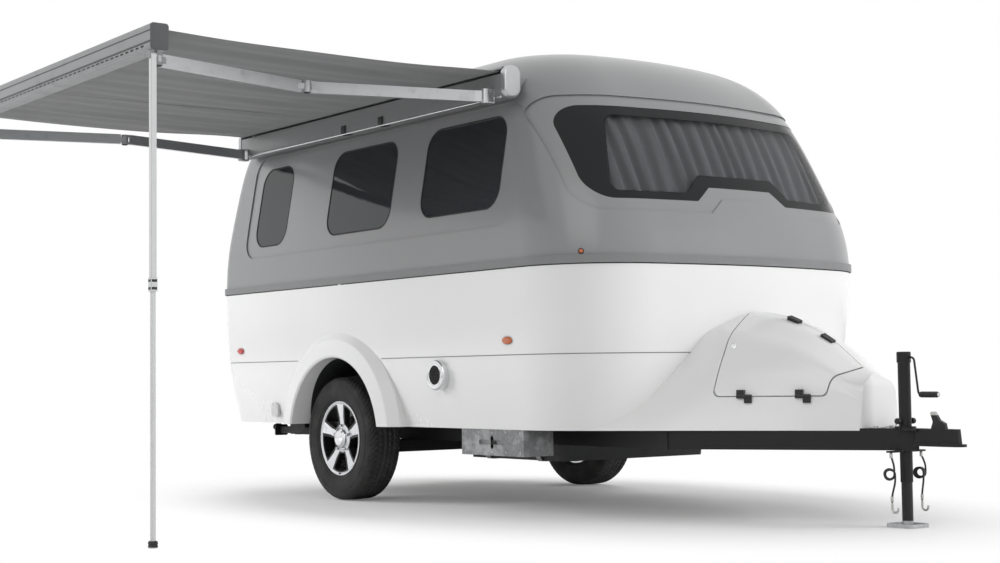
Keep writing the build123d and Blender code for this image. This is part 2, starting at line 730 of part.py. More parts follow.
with BuildPart() as crossmembers:
    with Locations((CROSS_FRONT_X, 0, rail_mid_z)):
        Box(CROSS_WIDTH, 2 * RAIL_Y + RAIL_WIDTH, RAIL_HEIGHT)
    with Locations((CROSS_REAR_X, 0, rail_mid_z)):
        Box(CROSS_WIDTH, 2 * RAIL_Y - RAIL_WIDTH, RAIL_HEIGHT)
finish(crossmembers, "crossmembers")

# The two drawbars meet on the middle line and leave a hole for the jack;
# each carries a lug for its safety cable
drawbar_angle = math.atan(DRAWBAR_SLOPE)
drawbar_rear_x = CROSS_FRONT_X + CROSS_WIDTH / 2
with BuildPart() as drawbars:
    for side in (-1, 1):
        with BuildSketch(Plane.XY.offset(rail_bottom_z)):
            outer_y = DRAWBAR_SLOPE * (DRAWBAR_TIP_X - drawbar_rear_x)
            inner_y = outer_y - RAIL_WIDTH / math.cos(drawbar_angle)
            inner_tip_x = DRAWBAR_TIP_X - RAIL_WIDTH / math.sin(drawbar_angle)
            with BuildLine():
                Polyline(
                    (drawbar_rear_x, side * outer_y),
                    (DRAWBAR_TIP_X, side * FIT / 2),
                    (inner_tip_x, side * FIT / 2),
                    (drawbar_rear_x, side * inner_y),
                    close=True,
                )
            make_face()
        extrude(amount=RAIL_HEIGHT)
        with Locations((0, side * (CABLE_Y + LUG_INNER_Y) / 2, rail_bottom_z - LUG_THICK / 2)):
            Box(CABLE_LUG_WIDTH, CABLE_Y - LUG_INNER_Y + CABLE_LUG_WIDTH, LUG_THICK)
    with BuildSketch(Plane.XY.offset(rail_bottom_z)):
        Circle(JACK_TUBE_R + FIT)
    extrude(amount=RAIL_HEIGHT, mode=Mode.SUBTRACT)
finish(drawbars, "drawbars")

# Torsion axle: a square beam under the rails, trailing arms and spindles
beam_x = AXLE_X + BEAM_AHEAD
beam_z = rail_bottom_z - BEAM_SIDE / 2
with BuildPart() as axle_beam:
    with BuildSketch(Plane.XZ.offset(-ARM_Y + ARM_WIDTH / 2)):
        with Locations((beam_x, beam_z)):
            RectangleRounded(BEAM_SIDE, BEAM_SIDE, 10)
    extrude(amount=2 * ARM_Y - ARM_WIDTH)
finish(axle_beam, "axle_beam")

with BuildPart() as torsion_arms:
    for side in (-1, 1):
        with BuildSketch(Plane.XZ.offset(-side * (ARM_Y - ARM_WIDTH / 2))):
            make_hull(
                Edge.make_circle(ARM_HEIGHT / 2, Plane((beam_x, beam_z, 0))).edges()
                + Edge.make_circle(ARM_HEIGHT / 2.4, Plane((AXLE_X, WHEEL_R, 0))).edges()
            )
        extrude(amount=-side * ARM_WIDTH)
        with BuildSketch(Plane.XZ.offset(-side * (ARM_Y + ARM_WIDTH / 2))):
            with Locations((AXLE_X, WHEEL_R)):
                Circle(SPINDLE_R)
        extrude(amount=-side * (WHEEL_Y + half_tyre - RIM_FACE_SET - 8 - FIT - ARM_Y - ARM_WIDTH / 2))
finish(torsion_arms, "torsion_arms")

# Coupler: a plate over the drawbars' apex, a channel nose and the ball housing
plate_top_z = BODY_BOTTOM_Z + PLATE_THICK
half_coupler = COUPLER_WIDTH / 2
with BuildPart() as coupler:
    with BuildSketch(Plane.XY.offset(BODY_BOTTOM_Z)):
        with BuildLine():
            FilletPolyline(
                (PLATE_REAR_X, -PLATE_REAR_HALF),
                (-10, -half_coupler - 8),
                (DRAWBAR_TIP_X + 20, -half_coupler),
                (DRAWBAR_TIP_X + 20, half_coupler),
                (-10, half_coupler + 8),
                (PLATE_REAR_X, PLATE_REAR_HALF),
                (-150, 0),
                radius=[8, 30, 0, 0, 30, 8, 30],
                close=True,
            )
        make_face()
    extrude(amount=PLATE_THICK)
    with BuildSketch(Plane.XY.offset(COUPLER_BOTTOM_Z)):
        with BuildLine():
            FilletPolyline(
                (DRAWBAR_TIP_X + 2, -half_coupler),
                (BALL_X - 30, -half_coupler),
                (BALL_X + 62, -30),
                (BALL_X + 62, 30),
                (BALL_X - 30, half_coupler),
                (DRAWBAR_TIP_X + 2, half_coupler),
                radius=[0, 40, 28, 28, 40, 0],
                close=True,
            )
        make_face()
    extrude(amount=12)
    with BuildSketch(Plane.XY.offset(COUPLER_BOTTOM_Z)):
        with BuildLine():
            FilletPolyline(
                (DRAWBAR_TIP_X + 2, -half_coupler + 6),
                (BALL_X - 20, -half_coupler + 6),
                (BALL_X + 40, -26),
                (BALL_X + 40, 26),
                (BALL_X - 20, half_coupler - 6),
                (DRAWBAR_TIP_X + 2, half_coupler - 6),
                radius=[0, 30, 24, 24, 30, 0],
                close=True,
            )
        make_face()
    extrude(amount=plate_top_z - COUPLER_BOTTOM_Z, taper=5)
    with BuildSketch(Plane.XY.offset(COUPLER_BOTTOM_Z)):
        with Locations(((DRAWBAR_TIP_X + BALL_X - 30) / 2, 0)):
            Rectangle(BALL_X - DRAWBAR_TIP_X - 70, COUPLER_WIDTH - 4 * COUPLER_WALL)
    extrude(amount=plate_top_z - COUPLER_BOTTOM_Z - 2 * COUPLER_WALL, mode=Mode.SUBTRACT)
    with BuildSketch(Plane.XY.offset(COUPLER_BOTTOM_Z)):
        with Locations((BALL_X, 0)):
            Circle(BALL_BORE_R)
    extrude(amount=BALL_Z - COUPLER_BOTTOM_Z, mode=Mode.SUBTRACT)
    with Locations((BALL_X, 0, BALL_Z)):
        Sphere(BALL_BORE_R, mode=Mode.SUBTRACT)
    with Locations((0, 0, BODY_BOTTOM_Z)):
        Cylinder(JACK_TUBE_R + FIT, 4 * PLATE_THICK, mode=Mode.SUBTRACT)
finish(coupler, "coupler")

# Latch: a lever standing over the coupler's nose
with BuildPart() as coupler_latch:
    with BuildSketch(Plane.XZ.offset(-9)):
        with BuildLine():
            FilletPolyline(
                (150, plate_top_z),
                (232, plate_top_z),
                (226, plate_top_z + 26),
                (196, plate_top_z + 40),
                (170, plate_top_z + 78),
                (146, plate_top_z + 76),
                (162, plate_top_z + 32),
                radius=[0, 0, 8, 12, 8, 8, 14],
                close=True,
            )
        make_face()
    extrude(amount=18)
finish(coupler_latch, "coupler_latch")

# Tongue jack: flanged outer tube, sliding leg with its foot, and the crank
jack_bore_r = JACK_TUBE_R - JACK_TUBE_WALL
with BuildPart() as jack_tube:
    with BuildSketch(Plane.XY.offset(JACK_TUBE_BOTTOM_Z)):
        Circle(JACK_TUBE_R)
    extrude(amount=JACK_TOP_Z - JACK_TUBE_BOTTOM_Z)
    with BuildSketch(Plane.XY.offset(plate_top_z)):
        Circle(JACK_TUBE_R + 20)
    extrude(amount=8)
    with BuildSketch(Plane.XY.offset(JACK_TOP_Z - 50)):
        Circle(JACK_TUBE_R + 4)
    extrude(amount=50)
    fillet(edges().group_by(Axis.Z)[-1], 6)
    with BuildSketch(Plane.XY.offset(JACK_TUBE_BOTTOM_Z)):
        Circle(jack_bore_r)
    extrude(amount=JACK_LEG_TOP_Z + 60 - JACK_TUBE_BOTTOM_Z, mode=Mode.SUBTRACT)
finish(jack_tube, "jack_tube")

with BuildPart() as jack_leg:
    with BuildSketch(Plane.XY):
        RectangleRounded(FOOT_LENGTH, FOOT_WIDTH, 14)
    extrude(amount=FOOT_THICK)
    with BuildSketch(Plane.XY.offset(FOOT_THICK)):
        RectangleRounded(FOOT_LENGTH, FOOT_WIDTH, 14)
        RectangleRounded(FOOT_LENGTH - 10, FOOT_WIDTH - 10, 10, mode=Mode.SUBTRACT)
    extrude(amount=12)
    with BuildSketch(Plane.XY.offset(FOOT_THICK)):
        Circle(jack_bore_r - FIT)
        Circle(jack_bore_r - FIT - JACK_TUBE_WALL, mode=Mode.SUBTRACT)
    extrude(amount=JACK_LEG_TOP_Z - FOOT_THICK)
finish(jack_leg, "jack_leg")

with BuildPart() as jack_crank:
    with BuildSketch(Plane.YZ.offset(JACK_TUBE_R + 4 + FIT)):
        with Locations((0, CRANK_Z)):
            Circle(CRANK_R)
    extrude(amount=CRANK_OUT_X - JACK_TUBE_R - 4)
    with BuildSketch(Plane.YZ.offset(CRANK_OUT_X)):
        with Locations((0, (CRANK_Z + CRANK_GRIP_Z) / 2)):
            SlotOverall(CRANK_Z - CRANK_GRIP_Z + 28, 28, rotation=90)
    extrude(amount=10)
    with BuildSketch(Plane.YZ.offset(CRANK_OUT_X + 10)):
        with Locations((0, CRANK_GRIP_Z)):
            Circle(CRANK_GRIP_R)
    extrude(amount=CRANK_GRIP_LEN)
    fillet(edges().group_by(Axis.X)[-1], 6)
finish(jack_crank, "jack_crank")


def locker_nose(inset):
    """Prism that rounds the locker's nose in plan and from the side, moved in by inset."""
    rear_x = LOCKER_STATIONS[0].x
    nose_x = LOCKER_STATIONS[-1].x - inset
    with BuildPart() as prism:
        with BuildSketch(Plane.XY.offset(BODY_BOTTOM_Z)):
            with BuildLine():
                FilletPolyline(
                    (rear_x, -NOSE_SPREAD),
                    (nose_x, -NOSE_HALF + inset),
                    (nose_x, NOSE_HALF - inset),
                    (rear_x, NOSE_SPREAD),
                    radius=[0, NOSE_PLAN_R - inset, NOSE_PLAN_R - inset, 0],
                    close=True,
                )
            make_face()
        extrude(amount=REACH)
        with BuildSketch(Plane.XZ.offset(-REACH / 2)):
            with BuildLine():
                FilletPolyline(
                    (rear_x, BODY_BOTTOM_Z),
                    (nose_x, BODY_BOTTOM_Z),
                    (nose_x, NOSE_TOP_Z - inset),
                    (rear_x, NOSE_RISE_Z - inset),
                    radius=[0, 0, NOSE_SIDE_R - inset, 0],
                    close=True,
                )
            make_face()
        extrude(amount=REACH, mode=Mode.INTERSECT)
    return prism.part


def locker_loft(inset):
    """Gas locker's outer form, or its hollow when moved in by inset."""
    with BuildPart() as solid:
        for station in LOCKER_STATIONS:
            base = station.base - inset
            waist = station.waist - inset
            shoulder = station.shoulder - inset
            with BuildSketch(Plane.YZ.offset(station.x)):
                with BuildLine():
                    FilletPolyline(
                        (-base, BODY_BOTTOM_Z),
                        (base, BODY_BOTTOM_Z),
                        (waist, station.waist_z),
                        (shoulder, station.shoulder_z - inset / 2),
                        (0, station.ridge_z - inset),
                        (-shoulder, station.shoulder_z - inset / 2),
                        (-waist, station.waist_z),
                        radius=[
                            0,
                            0,
                            station.waist_r,
                            station.shoulder_r - inset,
                            station.ridge_r - inset,
                            station.shoulder_r - inset,
                            station.waist_r,
                        ],
                        close=True,
                    )
                make_face()
        loft()
        add(locker_nose(inset), mode=Mode.INTERSECT)
    return solid.part


# Lid of the locker: cut from its right wall, hinged along its lower edge.
# lid_plane runs along that wall: x along the hinge, y up, z outward.
lid_a = Vector(LID_REAR_X, -LID_REAR_HALF, LID_HINGE_Z)
lid_along = Vector(1, LID_HINGE_SLOPE, 0).normalized()
lid_out = Vector(-lid_along.Y, lid_along.X, 0) * -1
lid_origin = lid_a + lid_out * LID_HINGE_OUT
lid_plane = Plane(origin=lid_origin, x_dir=lid_along, z_dir=lid_out)


def lid_prism(grow):
    """Prism into the locker with the lid's outline, moved out by grow."""
    with BuildPart() as prism:
        with BuildSketch(lid_plane):
            with BuildLine():
                FilletPolyline(
                    (-grow, -grow + GAP / 2),
                    (LID_LENGTH + grow, -grow + GAP / 2),
                    (LID_LENGTH + 25 + grow, 90 - grow),
                    (LID_LENGTH + 200, 150 - grow),
                    (LID_LENGTH + 200, 800),
                    (190 - grow, 800),
                    (40 - grow, 270),
                    radius=[30, 30, 60, 20, 20, 60, 200],
                    close=True,
                )
            make_face()
        extrude(amount=-900)
        with BuildSketch(Plane.XY.offset(BODY_BOTTOM_Z)):
            with Locations((0, -REACH / 2 - LID_RIDGE_SET + grow)):
                Rectangle(2 * REACH, REACH)
        extrude(amount=REACH, mode=Mode.INTERSECT)
    return prism.part


locker_skin = locker_loft(0)
locker_core = locker_loft(LOCKER_WALL)
with BuildPart() as locker_whole:
    add(locker_skin)
    add(locker_core, mode=Mode.SUBTRACT)
    add(body_skin, mode=Mode.SUBTRACT)
with BuildPart() as gas_locker:
    add(locker_whole.part)
    add(lid_prism(GAP), mode=Mode.SUBTRACT)
    with BuildSketch(Plane.XY.offset(BODY_BOTTOM_Z - PLATE_CLEAR)):
        with BuildLine():
            Polyline(
                (PLATE_REAR_X - PLATE_CLEAR, -PLATE_REAR_HALF - PLATE_CLEAR),
                (0, -half_coupler - 5 * PLATE_CLEAR),
                (0, half_coupler + 5 * PLATE_CLEAR),
                (PLATE_REAR_X - PLATE_CLEAR, PLATE_REAR_HALF + PLATE_CLEAR),
                close=True,
            )
        make_face()
    extrude(amount=PLATE_THICK + PLATE_CLEAR + FIT, mode=Mode.SUBTRACT)
finish(gas_locker, "gas_locker")
with BuildPart() as locker_lid:
    add(locker_whole.part)
    add(lid_prism(0), mode=Mode.INTERSECT)
finish(locker_lid, "locker_lid")

# Lid hinges: knuckles with a leaf on the lid, pins with a leaf on the locker
hinge_plane = Plane(origin=lid_origin, x_dir=lid_out, z_dir=lid_along)


def lid_hinge(station, leaf_up):
    """One half of a lid hinge, starting at this length along the hinge line."""
    rise = HINGE_KNUCKLE_R * 2.6 * (1 if leaf_up else -1)
    with BuildPart() as half:
        with BuildSketch(hinge_plane.offset(station)):
            Circle(HINGE_KNUCKLE_R * 0.8)
            with Locations((-HINGE_KNUCKLE_R, -rise / 2)):
                Rectangle(HINGE_KNUCKLE_R * 3, abs(rise))
        extrude(amount=LID_KNUCKLE_LEN)
    return half.part


with BuildPart() as lid_hinges:
    for station in LID_HINGE_STATIONS:
        add(lid_hinge(station, True))
    add(locker_skin, mode=Mode.SUBTRACT)
    for station in LID_HINGE_STATIONS:
        with BuildSketch(hinge_plane.offset(station - REACH / 4)):
            Circle(HINGE_PIN_R * 0.7 + RUN)
        extrude(amount=REACH / 2, mode=Mode.SUBTRACT)
finish(lid_hinges, "lid_hinges")
with BuildPart() as hinge_pins:
    for station in LID_HINGE_STATIONS:
        add(lid_hinge(station + LID_KNUCKLE_LEN + FIT, False))
    add(locker_skin, mode=Mode.SUBTRACT)
    for station in LID_HINGE_STATIONS:
        with BuildSketch(hinge_plane.offset(station - 2)):
            Circle(HINGE_PIN_R * 0.7)
        extrude(amount=2 * LID_KNUCKLE_LEN + FIT)
    add(door_pins.part)
finish(hinge_pins, "hinge_pins")

# Latches on the lid, by the ridge
with BuildPart() as lid_latches:
    for x, z, pitch in LATCHES:
        with Locations(Location((x, -LID_RIDGE_SET - LATCH_WIDTH / 2 - 2, z), (LATCH_ROLL, pitch, 0))):
            Box(LATCH_LENGTH, LATCH_WIDTH, LATCH_HEIGHT)
    add(locker_skin, mode=Mode.SUBTRACT)
finish(lid_latches, "lid_latches")

# Lamps: oval markers on the side walls and tall lamps on the rear wall
with BuildPart() as lamps:
    for side in (-1, 1):
        with BuildSketch(Plane.XZ.offset(-side * (BODY_HALF_WIDTH - 60))):
            with Locations(*((x, MARKER_Z) for x in MARKER_XS)):
                SlotOverall(MARKER_LENGTH, MARKER_HEIGHT)
        extrude(amount=-side * (60 + MARKER_PROUD))
    with BuildSketch(Plane.YZ.offset(BODY_REAR_X - TAIL_PROUD)):
        with Locations((-TAIL_Y, TAIL_Z), (TAIL_Y, TAIL_Z)):
            RectangleRounded(TAIL_WIDTH, TAIL_HEIGHT, 40)
    extrude(amount=100)
    add(body_skin, mode=Mode.SUBTRACT)
finish(lamps, "lamps")

# Round vent and the socket's square cover on the right wall
with BuildPart() as side_vent:
    with BuildSketch(Plane.XZ.offset(BODY_HALF_WIDTH - 80)):
        with Locations((VENT_X, VENT_Z)):
            Circle(VENT_R)
    extrude(amount=80 + VENT_PROUD)
    fillet(edges().group_by(Axis.Y)[0], 8)
    with BuildSketch(Plane.XZ.offset(BODY_HALF_WIDTH + VENT_PROUD - 18)):
        with Locations((VENT_X, VENT_Z)):
            Circle(VENT_R - 20)
    extrude(amount=40, mode=Mode.SUBTRACT)
    add(lower_skin, mode=Mode.SUBTRACT)
finish(side_vent, "side_vent")
with BuildPart() as socket_cover:
    with BuildSketch(Plane.XZ.offset(BODY_HALF_WIDTH - 120)):
        with Locations((SOCKET_X, SOCKET_Z)):
            RectangleRounded(SOCKET_WIDTH, SOCKET_HEIGHT, 8)
    extrude(amount=120 - SOCKET_SET)
    add(lower_skin, mode=Mode.SUBTRACT)
finish(socket_cover, "socket_cover")

# Roof vent: a frame with a low dome, on the flat of the roof
roof_z = UPPER_LEVELS[-1].z
with BuildPart() as roof_vent:
    with BuildSketch(Plane.XY.offset(roof_z - 30)):
        with Locations((ROOF_VENT_X, 0)):
            RectangleRounded(ROOF_VENT_SIDE, ROOF_VENT_SIDE, 40)
    extrude(amount=46)
    with BuildSketch(Plane.XY.offset(roof_z + 16)):
        with Locations((ROOF_VENT_X, 0)):
            RectangleRounded(ROOF_VENT_SIDE - 50, ROOF_VENT_SIDE - 50, 35)
    extrude(amount=26, taper=35)
    add(upper_skin, mode=Mode.SUBTRACT)
finish(roof_vent, "roof_vent")

# Under the floor: water tank, service box and the rear stabilisers
with BuildPart() as water_tank:
    with BuildSketch(Plane.XY.offset(BODY_BOTTOM_Z)):
        with Locations((TANK_X, 0)):
            RectangleRounded(TANK_LENGTH, TANK_WIDTH, 60)
    extrude(amount=-TANK_DEPTH, taper=6)
finish(water_tank, "water_tank")
with BuildPart() as service_box:
    with Locations((SERVICE_X, SERVICE_Y, BODY_BOTTOM_Z - SERVICE_HEIGHT / 2)):
        Box(SERVICE_LENGTH, SERVICE_WIDTH, SERVICE_HEIGHT)
    with Locations((SERVICE_X, SERVICE_Y - SERVICE_WIDTH / 2, BODY_BOTTOM_Z - SERVICE_HEIGHT / 2)):
        Box(SERVICE_LENGTH * 0.42, 24, 22, mode=Mode.SUBTRACT)
finish(service_box, "service_box")
with BuildPart() as stabilisers:
    for side in (-1, 1):
        with BuildSketch(Plane.XZ.offset(-side * STABILISER_Y)):
            with BuildLine():
                FilletPolyline(
                    (STABILISER_X, BODY_BOTTOM_Z),
                    (STABILISER_X + 190, BODY_BOTTOM_Z),
                    (STABILISER_X + 190, BODY_BOTTOM_Z - 40),
                    (STABILISER_X + 120, BODY_BOTTOM_Z - 85),
                    (STABILISER_X + 60, BODY_BOTTOM_Z - 85),
                    radius=[0, 0, 12, 20, 20],
                    close=True,
                )
            make_face()
        extrude(amount=STABILISER_WIDTH / 2, both=True)
        with BuildSketch(Plane.YZ.offset(STABILISER_X + 100)):
            with Locations((side * STABILISER_Y, BODY_BOTTOM_Z - 58)):
                RectangleRounded(36, 44, 6)
        extrude(amount=-STABILISER_LEG)
        with BuildSketch(Plane.YZ.offset(STABILISER_X + 100 - STABILISER_LEG)):
            with Locations((side * STABILISER_Y, BODY_BOTTOM_Z - 60)):
                RectangleRounded(90, 70, 10)
        extrude(amount=-10)
finish(stabilisers, "stabilisers")

# Awning: mounting rail on the wall, cassette, end caps and arm brackets
awning_length = AWNING_FRONT_X - AWNING_REAR_X
cassette_mid = (-(CASSETTE_BACK_Y + CASSETTE_FRONT_Y) / 2, (CASSETTE_BOTTOM_Z + CASSETTE_TOP_Z) / 2)
cassette_depth = CASSETTE_FRONT_Y - CASSETTE_BACK_Y
cassette_height = CASSETTE_TOP_Z - CASSETTE_BOTTOM_Z
lead_top_z = LEAD_BOTTOM_Z + LEAD_HEIGHT
canopy_z = lead_top_z + FIT
with BuildPart() as awning_rail:
    with BuildSketch(Plane.YZ.offset(AWNING_REAR_X + 2 * CASSETTE_CAP)):
        with Locations((-CASSETTE_BACK_Y + 60, cassette_mid[1])):
            Rectangle(120, cassette_height * 0.5)
    extrude(amount=awning_length - 4 * CASSETTE_CAP)
    add(upper_skin, mode=Mode.SUBTRACT)
finish(awning_rail, "awning_rail")

with BuildPart() as awning_cassette:
    with BuildSketch(Plane.YZ.offset(AWNING_REAR_X + CASSETTE_CAP)):
        with Locations(cassette_mid):
            RectangleRounded(cassette_depth, cassette_height, 14)
            RectangleRounded(
                cassette_depth - 2 * CASSETTE_WALL,
                cassette_height - 2 * CASSETTE_WALL,
                9,
                mode=Mode.SUBTRACT,
            )
        with Locations((-CASSETTE_FRONT_Y, canopy_z)):
            Rectangle(4 * CASSETTE_WALL, CANOPY_SLOT, mode=Mode.SUBTRACT)
    extrude(amount=awning_length - 2 * CASSETTE_CAP)
finish(awning_cassette, "awning_cassette")

with BuildPart() as cassette_caps:
    for x, way in ((AWNING_REAR_X + CASSETTE_CAP, -1), (AWNING_FRONT_X - CASSETTE_CAP, 1)):
        with BuildSketch(Plane.YZ.offset(x)):
            with Locations(cassette_mid):
                RectangleRounded(cassette_depth + 8, cassette_height + 8, 22)
        extrude(amount=way * CASSETTE_CAP)
    fillet(edges().group_by(Axis.X)[0] + edges().group_by(Axis.X)[-1], 12)
finish(cassette_caps, "cassette_caps")

arm_bottom_z = AWNING_ARM_Z - AWNING_ARM_HEIGHT / 2
arm_top_z = AWNING_ARM_Z + AWNING_ARM_HEIGHT / 2
tongue_height = AWNING_ARM_HEIGHT / 2
half_span = AWNING_SPAN / 2
elbow_in = math.sqrt(ARM_LENGTH**2 - half_span**2)
wrist_y = -ARM_PIVOT_Y - AWNING_SPAN
lead_inner_y = wrist_y - WRIST_OUT
# Columns: name, x of the shoulder and wrist pivots, way from them to the elbow
AWNING_SIDES = (
    ("front", AWNING_FRONT_X - SHOULDER_INSET, -1),
    ("rear", AWNING_REAR_X + SHOULDER_INSET, 1),
)

with BuildPart() as arm_brackets:
    for name, x, way in AWNING_SIDES:
        with Locations((x, -CASSETTE_FRONT_Y - LUG_THICK / 2, AWNING_ARM_Z)):
            Box(2 * ELBOW_R, LUG_THICK, AWNING_ARM_HEIGHT + 2 * LUG_THICK + 2 * FIT)
        for z in (arm_bottom_z - FIT - LUG_THICK, arm_top_z + FIT):
            with BuildSketch(Plane.XY.offset(z)):
                with Locations((x, -ARM_PIVOT_Y)):
                    Circle(ELBOW_R)
                with Locations((x, -(ARM_PIVOT_Y + CASSETTE_FRONT_Y) / 2)):
                    Rectangle(2 * ELBOW_R, ARM_PIVOT_Y - CASSETTE_FRONT_Y)
            extrude(amount=LUG_THICK)
        with Locations((x, -ARM_PIVOT_Y, AWNING_ARM_Z)):
            Cylinder(AWNING_PIN_R, AWNING_ARM_HEIGHT + 2 * LUG_THICK)
finish(arm_brackets, "arm_brackets")


def awning_arm(start, end, bar_side, start_fork, end_fork):
    """Arm between two pivots, its bar beside their line.

    A fork end has two plates and carries the pin; a tongue end is bored.
    """
    start, end = Vector(*start), Vector(*end)
    along = (end - start).normalized()
    length = (end - start).length
    arm_plane = Plane(origin=(start.X, start.Y, AWNING_ARM_Z), x_dir=along, z_dir=(0, 0, 1))
    shift = bar_side * AWNING_ARM_OFFSET
    clear = ELBOW_R + 6
    with BuildPart() as arm:
        with BuildSketch(arm_plane.offset(-AWNING_ARM_HEIGHT / 2)):
            with Locations((length / 2, shift)):
                Rectangle(length - 2 * clear, AWNING_ARM_THICK)
        extrude(amount=AWNING_ARM_HEIGHT)
        for pivot, inward, fork in ((0, 1, start_fork), (length, -1, end_fork)):
            for low, high in END_PLATES[fork]:
                with BuildSketch(arm_plane.offset(low)):
                    with Locations((pivot, 0)):
                        Circle(ELBOW_R)
                    with BuildLine():
                        Polyline(
                            (pivot, -bar_side * ELBOW_R * 0.5),
                            (pivot + inward * 2 * clear, shift - bar_side * AWNING_ARM_THICK / 2),
                            (pivot + inward * 2 * clear, shift + bar_side * AWNING_ARM_THICK / 2),
                            (pivot, bar_side * ELBOW_R),
                            close=True,
                        )
                    make_face()
                extrude(amount=high - low)
            if fork == "fork":
                with BuildSketch(arm_plane.offset(-AWNING_ARM_HEIGHT / 2)):
                    with Locations((pivot, 0)):
                        Circle(AWNING_PIN_R)
                extrude(amount=AWNING_ARM_HEIGHT)
            else:
                with BuildSketch(arm_plane.offset(-AWNING_ARM_HEIGHT)):
                    with Locations((pivot, 0)):
                        Circle(AWNING_PIN_R + RUN)
                extrude(amount=2 * AWNING_ARM_HEIGHT, mode=Mode.SUBTRACT)
    return arm


# Heights of the plates at an arm's end, from the arm's middle
END_PLATES = {
    "eye": ((-AWNING_ARM_HEIGHT / 2, AWNING_ARM_HEIGHT / 2),),
    "fork": (
        (-AWNING_ARM_HEIGHT / 2, -tongue_height / 2),
        (tongue_height / 2, AWNING_ARM_HEIGHT / 2),
    ),
    "tongue": ((-tongue_height / 2 + FIT, tongue_height / 2 - FIT),),
}
for name, x, way in AWNING_SIDES:
    shoulder = (x, -ARM_PIVOT_Y)
    elbow = (x + way * elbow_in, -ARM_PIVOT_Y - half_span)
    wrist = (x, wrist_y)
    finish(awning_arm(shoulder, elbow, way, "eye", "fork"), f"inner_arm_{name}")
    finish(awning_arm(elbow, wrist, way, "tongue", "tongue"), f"outer_arm_{name}")

# Lead bar: a hollow front profile with wrist forks and leg brackets
lead_rear_x = AWNING_REAR_X - LEAD_OVERHANG
lead_front_x = AWNING_FRONT_X + LEAD_OVERHANG
lead_mid_y = lead_inner_y - LEAD_DEPTH / 2
# Columns: name, x of the leg, its middle behind the lead bar's inner face
LEGS = (
    ("front", lead_front_x - LEG_INSET, FRONT_LEG_SET),
    ("rear", lead_rear_x + LEG_INSET, REAR_LEG_SET),
)
with BuildPart() as lead_bar:
    with BuildSketch(Plane.YZ.offset(lead_rear_x)):
        with Locations((lead_mid_y, LEAD_BOTTOM_Z + LEAD_HEIGHT / 2)):
            RectangleRounded(LEAD_DEPTH, LEAD_HEIGHT, 16)
            RectangleRounded(LEAD_DEPTH - 2 * LEAD_WALL, LEAD_HEIGHT - 2 * LEAD_WALL, 12, mode=Mode.SUBTRACT)
    extrude(amount=lead_front_x - lead_rear_x)
    for name, x, way in AWNING_SIDES:
        with Locations((x, lead_inner_y + LUG_THICK / 2, (arm_bottom_z + lead_top_z - 20) / 2)):
            Box(2 * ELBOW_R, LUG_THICK, lead_top_z - 20 - arm_bottom_z)
    for name, x, way in AWNING_SIDES:
        for low, high in END_PLATES["fork"]:
            with BuildSketch(Plane.XY.offset(AWNING_ARM_Z + low)):
                with Locations((x, wrist_y)):
                    Circle(ELBOW_R)
                with Locations((x, (wrist_y + lead_inner_y) / 2)):
                    Rectangle(2 * ELBOW_R, WRIST_OUT)
            extrude(amount=high - low)
    for (name, x, way), play in zip(AWNING_SIDES, (0, REAR_WRIST_PLAY)):
        with Locations((x, wrist_y, AWNING_ARM_Z)):
            Cylinder(AWNING_PIN_R - play, AWNING_ARM_HEIGHT)
    for name, x, behind in LEGS:
        y = lead_inner_y - behind
        for plate_y in (y - LEG_SIDE / 2 - FIT - LEG_LUG, y + LEG_SIDE / 2 + FIT):
            with BuildSketch(Plane.XZ.offset(-plate_y)):
                with Locations((x, LEG_PIVOT_Z)):
                    Circle(LEG_SIDE / 2)
                with Locations((x, (LEG_PIVOT_Z + LEAD_BOTTOM_Z) / 2)):
                    Rectangle(LEG_SIDE, LEAD_BOTTOM_Z - LEG_PIVOT_Z)
            extrude(amount=-LEG_LUG)
        with BuildSketch(Plane.XZ.offset(-(y - LEG_SIDE / 2 - LEG_LUG))):
            with Locations((x, LEG_PIVOT_Z)):
                Circle(LEG_PIN_R)
        extrude(amount=-(LEG_SIDE + 2 * LEG_LUG))
finish(lead_bar, "lead_bar")

# Legs: an outer tube hinged to the lead bar, an inner tube and a foot
for name, x, behind in LEGS:
    y = lead_inner_y - behind
    with BuildPart() as leg:
        with BuildSketch(Plane.XY.offset(LEG_SLEEVE_Z)):
            with Locations((x, y)):
                RectangleRounded(LEG_SIDE, LEG_SIDE, 4)
        extrude(amount=LEG_PIVOT_Z - LEG_SLEEVE_Z)
        with BuildSketch(Plane.XZ.offset(-(y - LEG_SIDE / 2))):
            with Locations((x, LEG_PIVOT_Z)):
                Circle(LEG_SIDE / 2)
        extrude(amount=-LEG_SIDE)
        with BuildSketch(Plane.XY.offset(LEG_FOOT_Z)):
            with Locations((x, y)):
                RectangleRounded(LEG_SIDE - 6, LEG_SIDE - 6, 4)
        extrude(amount=LEG_SLEEVE_Z - LEG_FOOT_Z)
        with BuildSketch(Plane.XY.offset(LEG_SLEEVE_Z - 30)):
            with Locations((x, y)):
                RectangleRounded(LEG_SIDE + 6, LEG_SIDE + 6, 5)
        extrude(amount=60)
        with BuildSketch(Plane.XY.offset(LEG_FOOT_Z)):
            with Locations((x, y)):
                RectangleRounded(LEG_FOOT_SIDE, LEG_FOOT_SIDE, 6)
        extrude(amount=8)
        with BuildSketch(Plane.XZ.offset(-(y - LEG_SIDE))):
            with Locations((x, LEG_PIVOT_Z)):
                Circle(LEG_PIN_R + RUN)
        extrude(amount=-2 * LEG_SIDE, mode=Mode.SUBTRACT)
    finish(leg, f"awning_leg_{name}")

